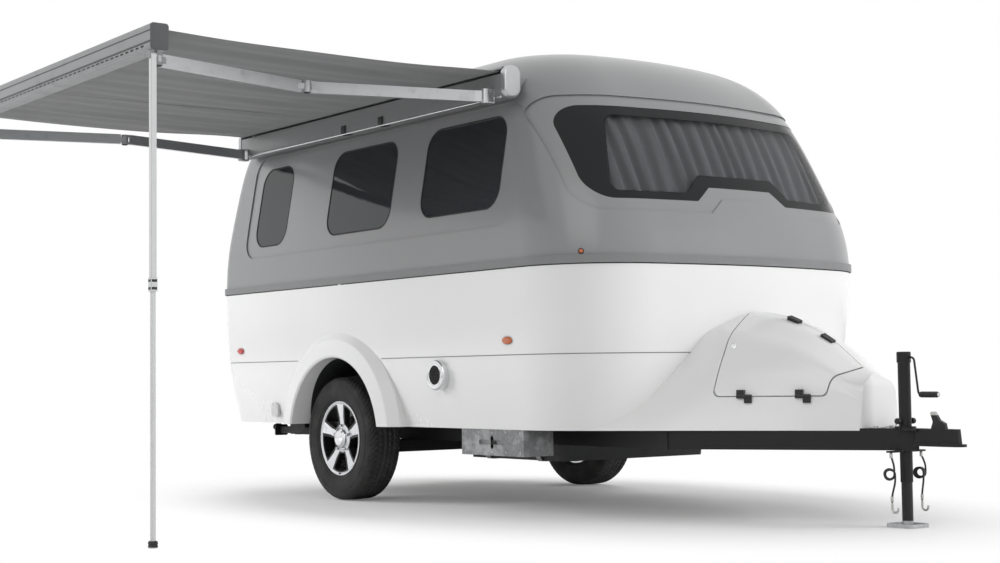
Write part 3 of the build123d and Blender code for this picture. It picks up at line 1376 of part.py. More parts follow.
# Canopy: the cloth from the cassette's slot to the top of the lead bar
canopy_root_y = -CASSETTE_FRONT_Y + CASSETTE_WALL
canopy_end_y = lead_inner_y - LEAD_DEPTH * 0.6
with BuildPart() as canopy:
    with BuildSketch(Plane.XY.offset(canopy_z)):
        with Locations(((AWNING_FRONT_X + AWNING_REAR_X) / 2, (canopy_root_y + canopy_end_y) / 2)):
            Rectangle(awning_length - 2 * CANOPY_INSET, canopy_root_y - canopy_end_y)
    extrude(amount=CANOPY_THICK)
finish(canopy, "canopy")

# Safety cables: a short cable from the lug, a coil, a tail and a hook
for name, side in (("right", -1), ("left", 1)):
    top = Vector(0, side * CABLE_Y, rail_bottom_z - LUG_THICK)
    coil_top = top - Vector(0, 0, CABLE_DROP)
    coil_foot = coil_top - Vector(0, 0, COIL_LENGTH)
    hook_top = coil_foot - Vector(0, 0, CABLE_TAIL)
    with BuildPart() as safety_cable:
        for a, b in ((top, coil_top), (coil_foot, hook_top)):
            with BuildSketch(Plane(origin=a, z_dir=b - a)):
                Circle(CABLE_R)
            extrude(amount=(b - a).length)
    finish(safety_cable, f"safety_cable_{name}")
    with BuildPart() as safety_coil:
        with BuildSketch(Plane(origin=coil_top, z_dir=coil_foot - coil_top)):
            Circle(COIL_R)
        extrude(amount=(coil_foot - coil_top).length)
    finish(safety_coil, f"safety_coil_{name}")
    with BuildPart() as safety_hook:
        with BuildLine(Plane(origin=hook_top, x_dir=(1, 0, 0), z_dir=(0, -1, 0))) as hook_path:
            shank = Line((0, 0), (0, -HOOK_SHANK))
            bend = JernArc(shank @ 1, shank % 1, HOOK_BEND_R, 200)
        with BuildSketch(Plane(origin=hook_path.line @ 0, z_dir=hook_path.line % 0)):
            Circle(HOOK_R)
        sweep(path=hook_path.line)
    finish(safety_hook, f"safety_hook_{name}")
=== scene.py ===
"""Dresses a packed travel caravan: a finish for every solid, and its soft, moulded and fine pieces."""

from __future__ import annotations

import json
import logging
import math
from dataclasses import dataclass, field
from enum import Enum
from typing import Any, ClassVar, Optional, Sequence

import bmesh
import bpy
import numpy as np
from mathutils import Matrix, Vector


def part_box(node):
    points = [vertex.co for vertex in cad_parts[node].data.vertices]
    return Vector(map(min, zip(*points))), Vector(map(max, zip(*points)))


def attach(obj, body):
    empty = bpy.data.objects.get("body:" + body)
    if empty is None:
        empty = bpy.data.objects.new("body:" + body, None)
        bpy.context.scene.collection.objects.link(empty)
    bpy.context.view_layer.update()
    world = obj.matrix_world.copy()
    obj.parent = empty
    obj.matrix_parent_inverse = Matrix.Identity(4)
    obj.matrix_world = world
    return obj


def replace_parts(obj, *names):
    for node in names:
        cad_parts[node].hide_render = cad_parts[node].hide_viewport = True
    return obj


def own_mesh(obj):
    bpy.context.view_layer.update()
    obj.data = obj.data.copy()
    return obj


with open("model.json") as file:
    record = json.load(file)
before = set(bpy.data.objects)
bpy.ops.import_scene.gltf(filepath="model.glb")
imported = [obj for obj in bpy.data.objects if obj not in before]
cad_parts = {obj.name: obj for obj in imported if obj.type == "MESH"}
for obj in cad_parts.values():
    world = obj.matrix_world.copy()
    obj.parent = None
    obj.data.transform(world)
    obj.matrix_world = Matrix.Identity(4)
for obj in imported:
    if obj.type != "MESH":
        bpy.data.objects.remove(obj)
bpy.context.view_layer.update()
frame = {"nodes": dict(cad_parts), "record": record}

LOG = logging.getLogger("caravan")
Array = np.ndarray
Colour = tuple[float, float, float]
Point = tuple[float, float, float]
Pair = tuple[float, float]
Profile = tuple[Pair, ...]  # radius and height, or height and size, from one end to the other
Rounded = tuple[float, float, float]  # width, height and corner radius
TURN = 2.0 * math.pi
QUARTER = math.pi / 2
ALONG: Point = (1.0, 0.0, 0.0)
ACROSS: Point = (0.0, 1.0, 0.0)
UP: Point = (0.0, 0.0, 1.0)
TO_RIGHT: Point = (0.0, -1.0, 0.0)
TO_REAR: Point = (-1.0, 0.0, 0.0)
TINY = 1e-12  # a length or an area below this counts as none
STEEP = 0.9  # an axis with more of Z than this counts as upright
AXLE: Pair = (-3.350, 0.360)  # X and Z of the wheels' axis


class Side(Enum):
    """A side of the caravan: its name in node names, and the sign of Y there."""

    RIGHT = ("right", -1.0)
    LEFT = ("left", 1.0)

    def __init__(self, word: str, sign: float) -> None:
        """Keeps the name and the sign."""
        self.word = word
        self.sign = sign


class Place(Enum):
    """An end of the awning: its name, the X of its pivots, the X of its elbow, and where its leg stands."""

    FRONT = ("front", -1.7200, -1.9637, (-1.565, -2.989))
    REAR = ("rear", -4.3300, -4.0863, (-4.485, -2.953))

    def __init__(self, word: str, pivot_x: float, elbow_x: float, leg_at: Pair) -> None:
        """Keeps the end's values.

        Args:
            word: its name in body names.
            pivot_x: X of the shoulder and of the wrist.
            elbow_x: X of the elbow.
            leg_at: X and Y of the leg.
        """
        self.word = word
        self.pivot_x = pivot_x
        self.elbow_x = elbow_x
        self.leg_at = leg_at


# Shader maths


class Wire:
    """A socket's value; arithmetic on it adds Math nodes to its tree."""

    def __init__(self, paint: "Paint", socket: Any) -> None:
        """Keeps the paint that the socket belongs to."""
        self.paint = paint
        self.socket = socket

    def _math(self, operation: str, first: Any, second: Any) -> "Wire":
        """Adds one Math node on two values."""
        return self.paint.node("Math", {"operation": operation}, {0: first, 1: second})

    def __add__(self, other: Any) -> "Wire":
        """Sum."""
        return self._math("ADD", self, other)

    def __radd__(self, other: Any) -> "Wire":
        """Sum, reflected."""
        return self._math("ADD", other, self)

    def __sub__(self, other: Any) -> "Wire":
        """Difference."""
        return self._math("SUBTRACT", self, other)

    def __rsub__(self, other: Any) -> "Wire":
        """Difference, reflected."""
        return self._math("SUBTRACT", other, self)

    def __mul__(self, other: Any) -> "Wire":
        """Product."""
        return self._math("MULTIPLY", self, other)

    def __truediv__(self, other: Any) -> "Wire":
        """Quotient."""
        return self._math("DIVIDE", self, other)

    def __pow__(self, other: Any) -> "Wire":
        """Power."""
        return self._math("POWER", self, other)

    def __abs__(self) -> "Wire":
        """Size without sign."""
        return self._math("ABSOLUTE", self, 0.0)

    def least(self, other: Any) -> "Wire":
        """The smaller of two values."""
        return self._math("MINIMUM", self, other)

    def most(self, other: Any) -> "Wire":
        """The larger of two values."""
        return self._math("MAXIMUM", self, other)

    def sine(self) -> "Wire":
        """Sine of the value in radians."""
        return self._math("SINE", self, 0.0)

    def arccosine(self) -> "Wire":
        """Angle in radians whose cosine the value is."""
        return self._math("ARCCOSINE", self, 0.0)

    def turn_of(self, across: Any) -> "Wire":
        """Angle in radians of a point with this height and that width."""
        return self._math("ARCTAN2", self, across)

    def step(self, low: float, high: float) -> "Wire":
        """A smooth rise from 0 to 1; it falls where low is above high.

        Args:
            low: value that gives 0.
            high: value that gives 1.

        Returns:
            The step.
        """
        ends = {1: min(low, high), 2: max(low, high)}
        rise = self.paint.node("MapRange", {"interpolation_type": "SMOOTHSTEP"}, {0: self, **ends})
        return rise if low <= high else 1.0 - rise


class Paint:
    """A node material while it is put together."""

    MIX_ENDS: ClassVar[tuple[int, int]] = (6, 7)
    MIX_RESULT: ClassVar[int] = 2
    EDGE_RAYS: ClassVar[int] = 4
    EDGE_GAIN: ClassVar[float] = 4.0

    def __init__(self, name: str) -> None:
        """Starts an empty material.

        Args:
            name: the material's name.
        """
        self.material = bpy.data.materials.new(name)
        self.material.use_nodes = True
        self.tree = self.material.node_tree
        self.tree.nodes.clear()

    def node(self, kind: str, settings: dict[str, Any], sockets: dict[Any, Any], out: Any = 0) -> Wire:
        """Adds a node.

        Args:
            kind: the node's type, without its ShaderNode prefix.
            settings: the node's properties.
            sockets: input name or number to a value or a Wire.
            out: name or number of the output that is returned.

        Returns:
            The chosen output.
        """
        made = self.tree.nodes.new("ShaderNode" + kind)
        for key, value in settings.items():
            setattr(made, key, value)
        for key, value in sockets.items():
            if isinstance(value, Wire):
                self.tree.links.new(value.socket, made.inputs[key])
            else:
                made.inputs[key].default_value = value
        return Wire(self, made.outputs[out])

    @staticmethod
    def opaque(value: Any) -> Any:
        """A colour of three parts with full alpha added; any other value as it is."""
        return (*value, 1.0) if isinstance(value, tuple) and len(value) == 3 else value

    def place(self) -> Wire:
        """Object coordinates, which are the caravan's own metres."""
        return self.node("TexCoord", {}, {}, "Object")

    def normal(self) -> Wire:
        """The surface's true normal."""
        return self.node("NewGeometry", {}, {}, "Normal")

    def axes(self) -> tuple[Wire, Wire, Wire]:
        """The Object coordinates one by one.

        Returns:
            X, Y and Z.
        """
        split = self.node("SeparateXYZ", {}, {0: self.place()})
        outs = split.socket.node.outputs
        return Wire(self, outs[0]), Wire(self, outs[1]), Wire(self, outs[2])

    def noise(
        self, scale: float, detail: float = 3.0, stretch: Point = (1, 1, 1), rough: float = 0.5
    ) -> Wire:
        """Cloudy noise on Object coordinates, from 0 to 1.

        Args:
            scale: cycles in a metre.
            detail: octaves.
            stretch: factor on each axis of the coordinates.
            rough: weight of the finer octaves.

        Returns:
            The noise value.
        """
        at = self.node("Mapping", {}, {"Vector": self.place(), "Scale": stretch})
        sockets = {"Vector": at, "Scale": scale, "Detail": detail, "Roughness": rough}
        return self.node("TexNoise", {}, sockets)

    def cells(self, scale: float, out: str = "Distance") -> Wire:
        """Voronoi cells on Object coordinates."""
        return self.node("TexVoronoi", {}, {"Vector": self.place(), "Scale": scale}, out)

    def mix(self, factor: Any, first: Any, second: Any) -> Wire:
        """A colour between two, by a factor from 0 to 1."""
        ends = {key: self.opaque(value) for key, value in zip(self.MIX_ENDS, (first, second))}
        return self.node("Mix", {"data_type": "RGBA"}, {0: factor, **ends}, self.MIX_RESULT)

    def bump(self, height: Wire, depth: float, under: Optional[Wire] = None) -> Wire:
        """A normal from a relief.

        Args:
            height: the relief, from 0 to 1.
            depth: metres of a height of 1.
            under: a normal that the relief is added to.

        Returns:
            The normal.
        """
        sockets = {"Height": height, "Distance": depth, "Strength": 1.0}
        if under is not None:
            sockets["Normal"] = under
        return self.node("Bump", {}, sockets)

    def edges(self, radius: float) -> Wire:
        """Rises from 0 on flats to 1 on edges: how far a rounded normal leaves the true one.

        Args:
            radius: how far from an edge the normal is rounded.

        Returns:
            The rise.
        """
        true = self.normal()
        soft = self.node("Bevel", {"samples": self.EDGE_RAYS}, {"Radius": radius})
        same = self.node("VectorMath", {"operation": "DOT_PRODUCT"}, {0: true, 1: soft}, "Value")
        return (1.0 - same) * self.EDGE_GAIN

    def shader(self, **sockets: Any) -> Wire:
        """A Principled shader; words in socket names are joined by underscores."""
        named = {key.replace("_", " "): self.opaque(value) for key, value in sockets.items()}
        return self.node("BsdfPrincipled", {}, named)

    def blend(self, factor: Any, first: Wire, second: Wire) -> Wire:
        """One shader over another by a factor."""
        return self.node("MixShader", {}, {0: factor, 1: first, 2: second})

    def done(self, shader: Wire) -> bpy.types.Material:
        """Ends the material with that shader.

        Args:
            shader: what the material's output takes.

        Returns:
            The material.
        """
        output = self.tree.nodes.new("ShaderNodeOutputMaterial")
        self.tree.links.new(shader.socket, output.inputs[0])
        return self.material


@dataclass(frozen=True)
class Finish:
    """A named finish; each kind of surface has its own build method."""

    name: str
    colour: Colour
    made: ClassVar[dict[str, bpy.types.Material]] = {}

    def build(self, paint: Paint) -> Wire:
        """The finish's shader."""
        raise NotImplementedError

    def material(self) -> bpy.types.Material:
        """The finish as a material, made once.

        Returns:
            The material.
        """
        if self.name not in Finish.made:
            paint = Paint(self.name)
            Finish.made[self.name] = paint.done(self.build(paint))
        return Finish.made[self.name]

    def shade(self, factor: float) -> Colour:
        """The finish's colour, lighter or darker."""
        return tuple(min(1.0, part * factor) for part in self.colour)


@dataclass(frozen=True)
class Gelcoat(Finish):
    """Glossy moulded skin: slow shade drift, rain streaks, road film low down, orange-peel bump."""

    gloss: float = 0.24
    film: float = 0.025
    film_z: Pair = (0.95, 0.42)
    soil: Colour = (0.33, 0.30, 0.26)
    peel: float = 0.00006
    wave: float = 0.0022

    def build(self, paint: Paint) -> Wire:
        """The film grows between two heights, and a streak is noise drawn out in height.

        Args:
            paint: the material that it is built in.

        Returns:
            The shader.
        """
        _, _, height = paint.axes()
        drift = paint.noise(0.9, 2.0)
        streak = paint.noise(9.0, 4.0, (1.0, 1.0, 0.08)).step(0.52, 0.74)
        low = height.step(*self.film_z)
        dust = paint.noise(38.0, 5.0).step(0.38, 0.7)
        dirt = (low * (0.6 + dust * 0.4) * self.film + streak * (0.2 * self.film)).least(1.0)
        base = paint.mix(drift, self.shade(0.972), self.shade(1.02))
        base = paint.mix(dirt, base, self.soil)
        wave = paint.bump(paint.noise(1.6, 1.0), self.wave)
        normal = paint.bump(paint.noise(260.0, 1.0), self.peel, wave)
        rough = self.gloss + dirt * 0.3 + drift * 0.05
        return paint.shader(
            Base_Color=base, Roughness=rough, Normal=normal, Coat_Weight=0.25, Coat_Roughness=0.12
        )


@dataclass(frozen=True)
class Moulded(Finish):
    """Moulded plastic: fine leather grain, dust in the hollows, paler rubbed edges."""

    rough: float = 0.5
    grain: float = 620.0
    rub: float = 0.25
    edge: float = 0.0025
    relief: float = 0.0002

    def build(self, paint: Paint) -> Wire:
        """The grain is the distance from the middle of a cell.

        Args:
            paint: the material that it is built in.

        Returns:
            The shader.
        """
        grain = paint.cells(self.grain)
        dust = paint.noise(22.0, 4.0).step(0.5, 0.8)
        base = paint.mix(dust * 0.3, self.colour, self.shade(1.35))
        base = paint.mix(paint.edges(self.edge).least(1.0) * self.rub, base, self.shade(1.9))
        normal = paint.bump(grain, self.relief)
        return paint.shader(Base_Color=base, Roughness=self.rough + dust * 0.14, Normal=normal)


@dataclass(frozen=True)
class Powder(Finish):
    """Powder coat on steel: pebbled skin, road dust on top faces, chips on the edges."""

    rough: float = 0.4
    chips: float = 0.35
    edge: float = 0.004
    dust: Colour = (0.20, 0.185, 0.165)
    steel: Colour = (0.30, 0.27, 0.25)
    pebble: float = 0.00022

    def build(self, paint: Paint) -> Wire:
        """Dust lies where the normal points up, and a chip is a speck on an edge.

        Args:
            paint: the material that it is built in.

        Returns:
            The shader.
        """
        speck = paint.noise(95.0, 6.0, rough=0.7)
        chip = (paint.edges(self.edge) * speck.step(0.5, 0.62)).least(1.0) * self.chips
        up = paint.node("SeparateXYZ", {}, {0: paint.normal()}, "Z").step(0.35, 0.95)
        dust = up * paint.noise(16.0, 5.0).step(0.35, 0.75) * 0.35
        base = paint.mix(dust, self.colour, self.dust)
        base = paint.mix(chip, base, self.steel)
        skin = paint.bump(paint.noise(420.0, 2.0), self.pebble)
        rough = self.rough + dust * 0.5
        return paint.shader(Base_Color=base, Roughness=rough, Normal=skin, Specular_IOR_Level=0.3)


@dataclass(frozen=True)
class Zinc(Finish):
    """Hot-dip galvanising: large spangle cells with their own tone, dull white bloom."""

    scale: float = 85.0
    bloom: Colour = (0.66, 0.67, 0.68)
    relief: float = 0.00012

    def build(self, paint: Paint) -> Wire:
        """Each spangle has the tone of its cell, and the bloom is dull and less metallic.

        Args:
            paint: the material that it is built in.

        Returns:
            The shader.
        """
        tone = paint.node("RGBToBW", {}, {0: paint.cells(self.scale, "Color")})
        bloom = paint.noise(14.0, 5.0).step(0.45, 0.72)
        base = paint.mix(tone * 0.7, self.shade(0.72), self.shade(1.2))
        base = paint.mix(bloom * 0.45, base, self.bloom)
        normal = paint.bump(tone, self.relief)
        metal = 0.85 - bloom * 0.35
        rough = 0.34 + tone * 0.14 + bloom * 0.18
        return paint.shader(Base_Color=base, Metallic=metal, Roughness=rough, Normal=normal)


@dataclass(frozen=True)
class Metal(Finish):
    """Bare or anodised metal with drawn lines along one axis and small stains."""

    rough: float = 0.25
    lines: Point = (1.0, 60.0, 60.0)
    relief: float = 0.00003

    def build(self, paint: Paint) -> Wire:
        """The drawn lines are noise squeezed on two axes.

        Args:
            paint: the material that it is built in.

        Returns:
            The shader.
        """
        draw = paint.noise(14.0, 4.0, self.lines)
        stain = paint.noise(19.0, 5.0).step(0.52, 0.8)
        base = paint.mix(draw * 0.6, self.shade(0.9), self.shade(1.08))
        base = paint.mix(stain * 0.22, base, self.shade(0.55))
        rough = self.rough + draw * 0.08 + stain * 0.16
        normal = paint.bump(draw, self.relief)
        return paint.shader(Base_Color=base, Metallic=1.0, Roughness=rough, Normal=normal)


@dataclass(frozen=True)
class Rubber(Finish):
    """Rubber: matt, a brown-grey bloom of dust, very fine pitting."""

    rough: float = 0.72
    bloom: float = 0.35
    dust: Colour = (0.085, 0.078, 0.07)
    pits: float = 0.0003

    def build(self, paint: Paint) -> Wire:
        """The bloom is coarse noise and the pitting fine noise.

        Args:
            paint: the material that it is built in.

        Returns:
            The shader.
        """
        cloud = paint.noise(12.0, 5.0).step(0.4, 0.75)
        fine = paint.noise(190.0, 3.0)
        base = paint.mix(cloud * self.bloom, self.colour, self.dust)
        base = paint.mix(fine * 0.25, base, self.shade(0.6))
        normal = paint.bump(fine, self.pits)
        return paint.shader(Base_Color=base, Roughness=self.rough + fine * 0.12, Normal=normal)


@dataclass(frozen=True)
class DarkPane(Finish):
    """Tinted acrylic: almost black, glossy, with a slight sheet wave, faint dust, and painted shade that
    darkens it towards the top.
    """

    awning_shade_z: Pair = (2.05, 1.5)
    dust: Colour = (0.4, 0.4, 0.4)
    wave: float = 0.0016
    gloss: float = 0.045
    ior: float = 1.49

    def build(self, paint: Paint) -> Wire:
        """Painted shade: the pane is darker towards the top, under the awning, and paler below, between two
        heights.

        Args:
            paint: the material that it is built in.

        Returns:
            The shader.
        """
        _, _, height = paint.axes()
        dust = paint.noise(45.0, 5.0).step(0.45, 0.8) * 0.015
        # Painted shade: paler low on the pane, darker up under the awning.
        base = paint.mix(height.step(*self.awning_shade_z) * 0.6, self.colour, self.shade(2.1))
        base = paint.mix(dust, base, self.dust)
        wave = paint.bump(paint.noise(2.4, 1.0), self.wave)
        return paint.shader(Base_Color=base, Roughness=self.gloss + dust * 2.0, Normal=wave, IOR=self.ior)


@dataclass(frozen=True)
class FrontPane(Finish):
    """Front window: a black printed border round a clear middle, which is notched below."""

    middle_z: float = 1.812
    half: Pair = (0.734, 0.202)
    lean: float = 0.264
    corner: float = 0.055
    notch_z: float = 1.708
    notch_half: float = 0.255
    notch_slope: float = 0.9
    blur: float = 0.004
    tint: Colour = (0.62, 0.63, 0.64)
    wave: float = 0.0012

    def build(self, paint: Paint) -> Wire:
        """The clear area is where a rounded box's distance from its outline is negative.

        Args:
            paint: the material that it is built in.

        Returns:
            The shader.
        """
        _, across, height = paint.axes()
        rise = height - self.middle_z
        out_y = (abs(across) + rise * self.lean - (self.half[0] - self.corner)).most(0.0)
        out_z = (abs(rise) - (self.half[1] - self.corner)).most(0.0)
        gap = (out_y * out_y + out_z * out_z) ** 0.5 - self.corner
        notch_edge = self.notch_z - (abs(across) - self.notch_half).most(0.0) * self.notch_slope
        notch = (notch_edge - height).step(-self.blur, self.blur)
        clear = gap.step(self.blur, -self.blur) * (1.0 - notch)
        dust = paint.noise(40.0, 5.0).step(0.45, 0.8) * 0.08
        wave = paint.bump(paint.noise(2.0, 1.0), self.wave)
        border = paint.shader(
            Base_Color=self.colour, Roughness=0.06 + dust, Normal=wave, Specular_IOR_Level=0.22
        )
        glass = paint.shader(
            Base_Color=self.tint, Roughness=0.02, Normal=wave, Transmission_Weight=1.0, IOR=1.12
        )
        return paint.blend(clear, border, glass)


@dataclass(frozen=True)
class Lens(Finish):
    """Moulded lamp lens: ribbed inside, deep colour, glossy; amber at the front and red behind."""

    amber: Colour = (0.58, 0.13, 0.02)
    split_x: float = -2.6
    blur: float = 0.01
    ribs: float = 900.0
    relief: float = 0.0004

    def build(self, paint: Paint) -> Wire:
        """The ribs are two crossed sines, one along the wall and one up it.

        Args:
            paint: the material that it is built in.

        Returns:
            The shader.
        """
        along, across, height = paint.axes()
        ribs = ((along + across) * self.ribs).sine() * 0.5 + ((height * self.ribs).sine() * 0.5 + 0.5)
        front = along.step(self.split_x - self.blur, self.split_x + self.blur)
        base = paint.mix(front, self.colour, self.amber)
        base = paint.mix(ribs * 0.25, base, self.shade(0.45))
        normal = paint.bump(ribs, self.relief)
        return paint.shader(Base_Color=base, Roughness=0.12, Normal=normal, Coat_Weight=0.6)


@dataclass(frozen=True)
class Cloth(Finish):
    """Woven cloth on Object coordinates: two crossed sines for the threads, soiling and sheen."""

    threads: float = 1400.0
    axes_used: tuple[int, int] = (0, 1)
    relief: float = 0.00035
    slub: float = 0.0005
    stain: float = 0.3
    glow: float = 0.0

    def build(self, paint: Paint) -> Wire:
        """With a glow, that share of the light comes through the cloth.

        Args:
            paint: the material that it is built in.

        Returns:
            The shader.
        """
        parts = paint.axes()
        warp, weft = ((parts[axis] * self.threads).sine() * 0.5 + 0.5 for axis in self.axes_used)
        weave = warp * weft
        cloud = paint.noise(3.2, 5.0).step(0.35, 0.75)
        slub = paint.noise(60.0, 3.0, (0.05, 1.0, 1.0))
        base = paint.mix(weave * 0.5, self.shade(0.86), self.shade(1.08))
        base = paint.mix(cloud * self.stain, base, self.shade(0.78))
        base = paint.mix(slub * 0.18, base, self.shade(1.18))
        normal = paint.bump(weave, self.relief, paint.bump(slub, self.slub))
        solid = paint.shader(
            Base_Color=base, Roughness=0.86, Normal=normal, Sheen_Weight=0.25, Sheen_Roughness=0.5
        )
        if self.glow <= 0.0:
            return solid
        through = paint.node("BsdfTranslucent", {}, {"Color": base, "Normal": normal})
        return paint.blend(self.glow, solid, through)


@dataclass(frozen=True)
class TwoCoat(Finish):
    """One finish below a height and another above it."""

    split: float
    lower: Finish
    upper: Finish
    blur: float = 0.002

    def build(self, paint: Paint) -> Wire:
        """The upper finish takes over across the split.

        Args:
            paint: the material that it is built in.

        Returns:
            The shader.
        """
        _, _, height = paint.axes()
        above = height.step(self.split - self.blur, self.split + self.blur)
        return paint.blend(above, self.lower.build(paint), self.upper.build(paint))


@dataclass(frozen=True)
class WheelFace(Finish):
    """A machined alloy wheel with black pockets between its spokes; the black is partly paint and partly
    painted shade of the open pockets.

    A point is in a pocket where its distance along the arc from the nearest spoke's middle is more
    than the spoke's half width there; that distance is r acos(cos(n(a - a0))) / n for n spokes.
    """

    metal: Finish
    black_and_shade: Finish
    axle: Pair = AXLE
    spokes: int = 5
    first: float = QUARTER
    spoke_half: float = 0.0200
    flare_from: float = 0.125
    flare: float = 0.20
    blur: float = 0.0012
    hub: Pair = (0.080, 0.083)
    lip: Pair = (0.2005, 0.1985)

    def build(self, paint: Paint) -> Wire:
        """The pockets lie between the hub's radius and the lip's.

        Args:
            paint: the material that it is built in.

        Returns:
            The shader.
        """
        along, _, height = paint.axes()
        x, z = along - self.axle[0], height - self.axle[1]
        radius = (x * x + z * z) ** 0.5
        angle = (z.turn_of(x) - self.first) * float(self.spokes)
        arc = radius * (angle + QUARTER).sine().arccosine() / float(self.spokes)
        half = self.spoke_half + (radius - self.flare_from).most(0.0) * self.flare
        inside = (arc - half).step(-self.blur, self.blur) * radius.step(*self.hub) * radius.step(*self.lip)
        # Painted shade: the near-black in the pockets stands partly for black paint and partly for the shade
        # inside the open pockets.
        return paint.blend(inside, self.metal.build(paint), self.black_and_shade.build(paint))


@dataclass(frozen=True)
class BarCoat(Finish):
    """Painted aluminium profile: brushed paint with two grooves at set heights, darkened with painted shade.
    """

    grooves: tuple[Pair, Pair] = ((2.166, 0.0045), (2.214, 0.0027))
    blur: float = 0.001
    black: Colour = (0.02, 0.02, 0.02)
    depth: float = 0.0012
    relief: float = 0.00004

    def build(self, paint: Paint) -> Wire:
        """A groove is where the height is within half its width of its middle.

        Args:
            paint: the material that it is built in.

        Returns:
            The shader.
        """
        _, _, height = paint.axes()
        lines = paint.noise(16.0, 4.0, (1.0, 50.0, 50.0))
        stain = paint.noise(9.0, 5.0).step(0.5, 0.8)
        lower, upper = (abs(height - z).step(half + self.blur, half) for z, half in self.grooves)
        groove = lower.most(upper)
        base = paint.mix(lines * 0.5, self.shade(0.92), self.shade(1.08))
        base = paint.mix(stain * 0.2, base, self.shade(0.7))
        # Painted shade: the grooves are mixed towards near black as well as bumped in.
        base = paint.mix(groove * 0.85, base, self.black)
        normal = paint.bump(1.0 - groove, self.depth, paint.bump(lines, self.relief))
        return paint.shader(Base_Color=base, Metallic=0.35, Roughness=0.42 + stain * 0.12, Normal=normal)


class Finishes:
    """The caravan's finishes by the maker's words."""

    WHITE = Gelcoat("gelcoat_white", (0.80, 0.805, 0.80))
    GREY = Gelcoat("gelcoat_silver", (0.238, 0.241, 0.246), gloss=0.26, film=0.04)
    BELT = Moulded("belt_rail_grey", (0.205, 0.208, 0.212), rough=0.42)
    PANE = DarkPane("tinted_acrylic", (0.012, 0.014, 0.016))
    FRONT = FrontPane("front_pane", (0.010, 0.011, 0.012))
    CURTAIN = Cloth("curtain_grey", (0.20, 0.202, 0.206), threads=1700.0, axes_used=(1, 2), stain=0.15)
    BOARD = Moulded("floor_board", (0.13, 0.12, 0.11), rough=0.8, grain=300.0)
    PLASTIC = Moulded("black_plastic", (0.022, 0.023, 0.024))
    CHASSIS = Powder("chassis_powder", (0.010, 0.010, 0.011), rough=0.46)
    ZINC = Zinc("galvanised", (0.55, 0.56, 0.57))
    CRANK = Powder("crank_black", (0.018, 0.018, 0.019), rough=0.3)
    LENS = Lens("lamp_lens", (0.55, 0.02, 0.015))
    CHROME = Metal("chrome", (0.78, 0.79, 0.80), rough=0.08, relief=0.00001)
    HINGE = Powder("hinge_black", (0.024, 0.024, 0.025), rough=0.45)
    SILVER = Metal("anodised_silver", (0.56, 0.57, 0.58), rough=0.38)
    CANOPY = Cloth("awning_cloth", (0.215, 0.218, 0.222), threads=1250.0, glow=0.12)
    CABLE = Rubber("cable_sheath", (0.014, 0.014, 0.015), rough=0.42, bloom=0.15)
    HOOK = Metal("hook_steel", (0.52, 0.51, 0.49), rough=0.3)
    TYRE = Rubber("tyre_rubber", (0.022, 0.022, 0.023))
    ALLOY = Metal("polished_alloy", (0.72, 0.73, 0.75), rough=0.2, lines=(4.0, 4.0, 4.0))
    CAP = Metal("cap_chrome", (0.80, 0.81, 0.82), rough=0.1, lines=(4.0, 4.0, 4.0))
    LEAD = BarCoat("lead_bar_grey", (0.27, 0.275, 0.28))
    LEG = Gelcoat("leg_white", (0.60, 0.605, 0.61), gloss=0.34, film=0.08)
    SEAL = Rubber("seal_rubber", (0.016, 0.016, 0.017), rough=0.6, bloom=0.15)
    # Painted shade: a near-black sheet set into slots and vents where their depth would be in shade.
    RECESS_SHADE = Rubber("painted_recess_shade", (0.008, 0.008, 0.008), rough=0.8, bloom=0.1)
    IRON = Metal("cast_iron", (0.10, 0.095, 0.09), rough=0.55, lines=(4.0, 4.0, 4.0))
    # Painted shade: the silver cassette and its rail are a dark grey, as if in the canopy's shadow.
    SHADED_CASSETTE = Gelcoat("cassette_shaded_grey", (0.20, 0.203, 0.207), gloss=0.36)
    BAR_END = Moulded("bar_end_grey", (0.085, 0.087, 0.09), rough=0.45)
    JACK = TwoCoat("jack_leg_coat", CRANK.colour, 0.030, ZINC, CRANK)
    DOOR = TwoCoat("door_coat", GREY.colour, 1.258, WHITE, GREY)
    LATCH = TwoCoat("latch_coat", CRANK.colour, 0.512, CRANK, HOOK)
    DULL_ZINC = Zinc("dull_zinc", (0.26, 0.265, 0.27))
    # Near-black pocket colour: partly black paint, partly painted shade of the open pockets.
    POCKET_BLACK_SHADE = Powder("pocket_black_and_shade", (0.012, 0.012, 0.013), rough=0.35)
    WHEEL = WheelFace("wheel_face", ALLOY.colour, ALLOY, POCKET_BLACK_SHADE)


NODE_FINISH: dict[str, Finish] = {
    "lower_white": Finishes.WHITE,
    "upper_grey": Finishes.GREY,
    "belt_grey": Finishes.BELT,
    "window_glass": Finishes.PANE,
    "curtain_cloth": Finishes.CURTAIN,
    "floor_board": Finishes.BOARD,
    "black_plastic": Finishes.PLASTIC,
    "chassis_black": Finishes.CHASSIS,
    "zinc": Finishes.ZINC,
    "crank_black": Finishes.CRANK,
    "lamp_red": Finishes.LENS,
    "vent_chrome": Finishes.CHROME,
    "hinge_black": Finishes.HINGE,
    "awning_silver": Finishes.SILVER,
    "awning_cloth": Finishes.CANOPY,
    "cable_black": Finishes.CABLE,
    "hook_steel": Finishes.HOOK,
    "tyre": Finishes.TYRE,
    "alloy": Finishes.ALLOY,
    "cap_chrome": Finishes.CAP,
    "lead_grey": Finishes.LEAD,
    "leg_white": Finishes.LEG,
}
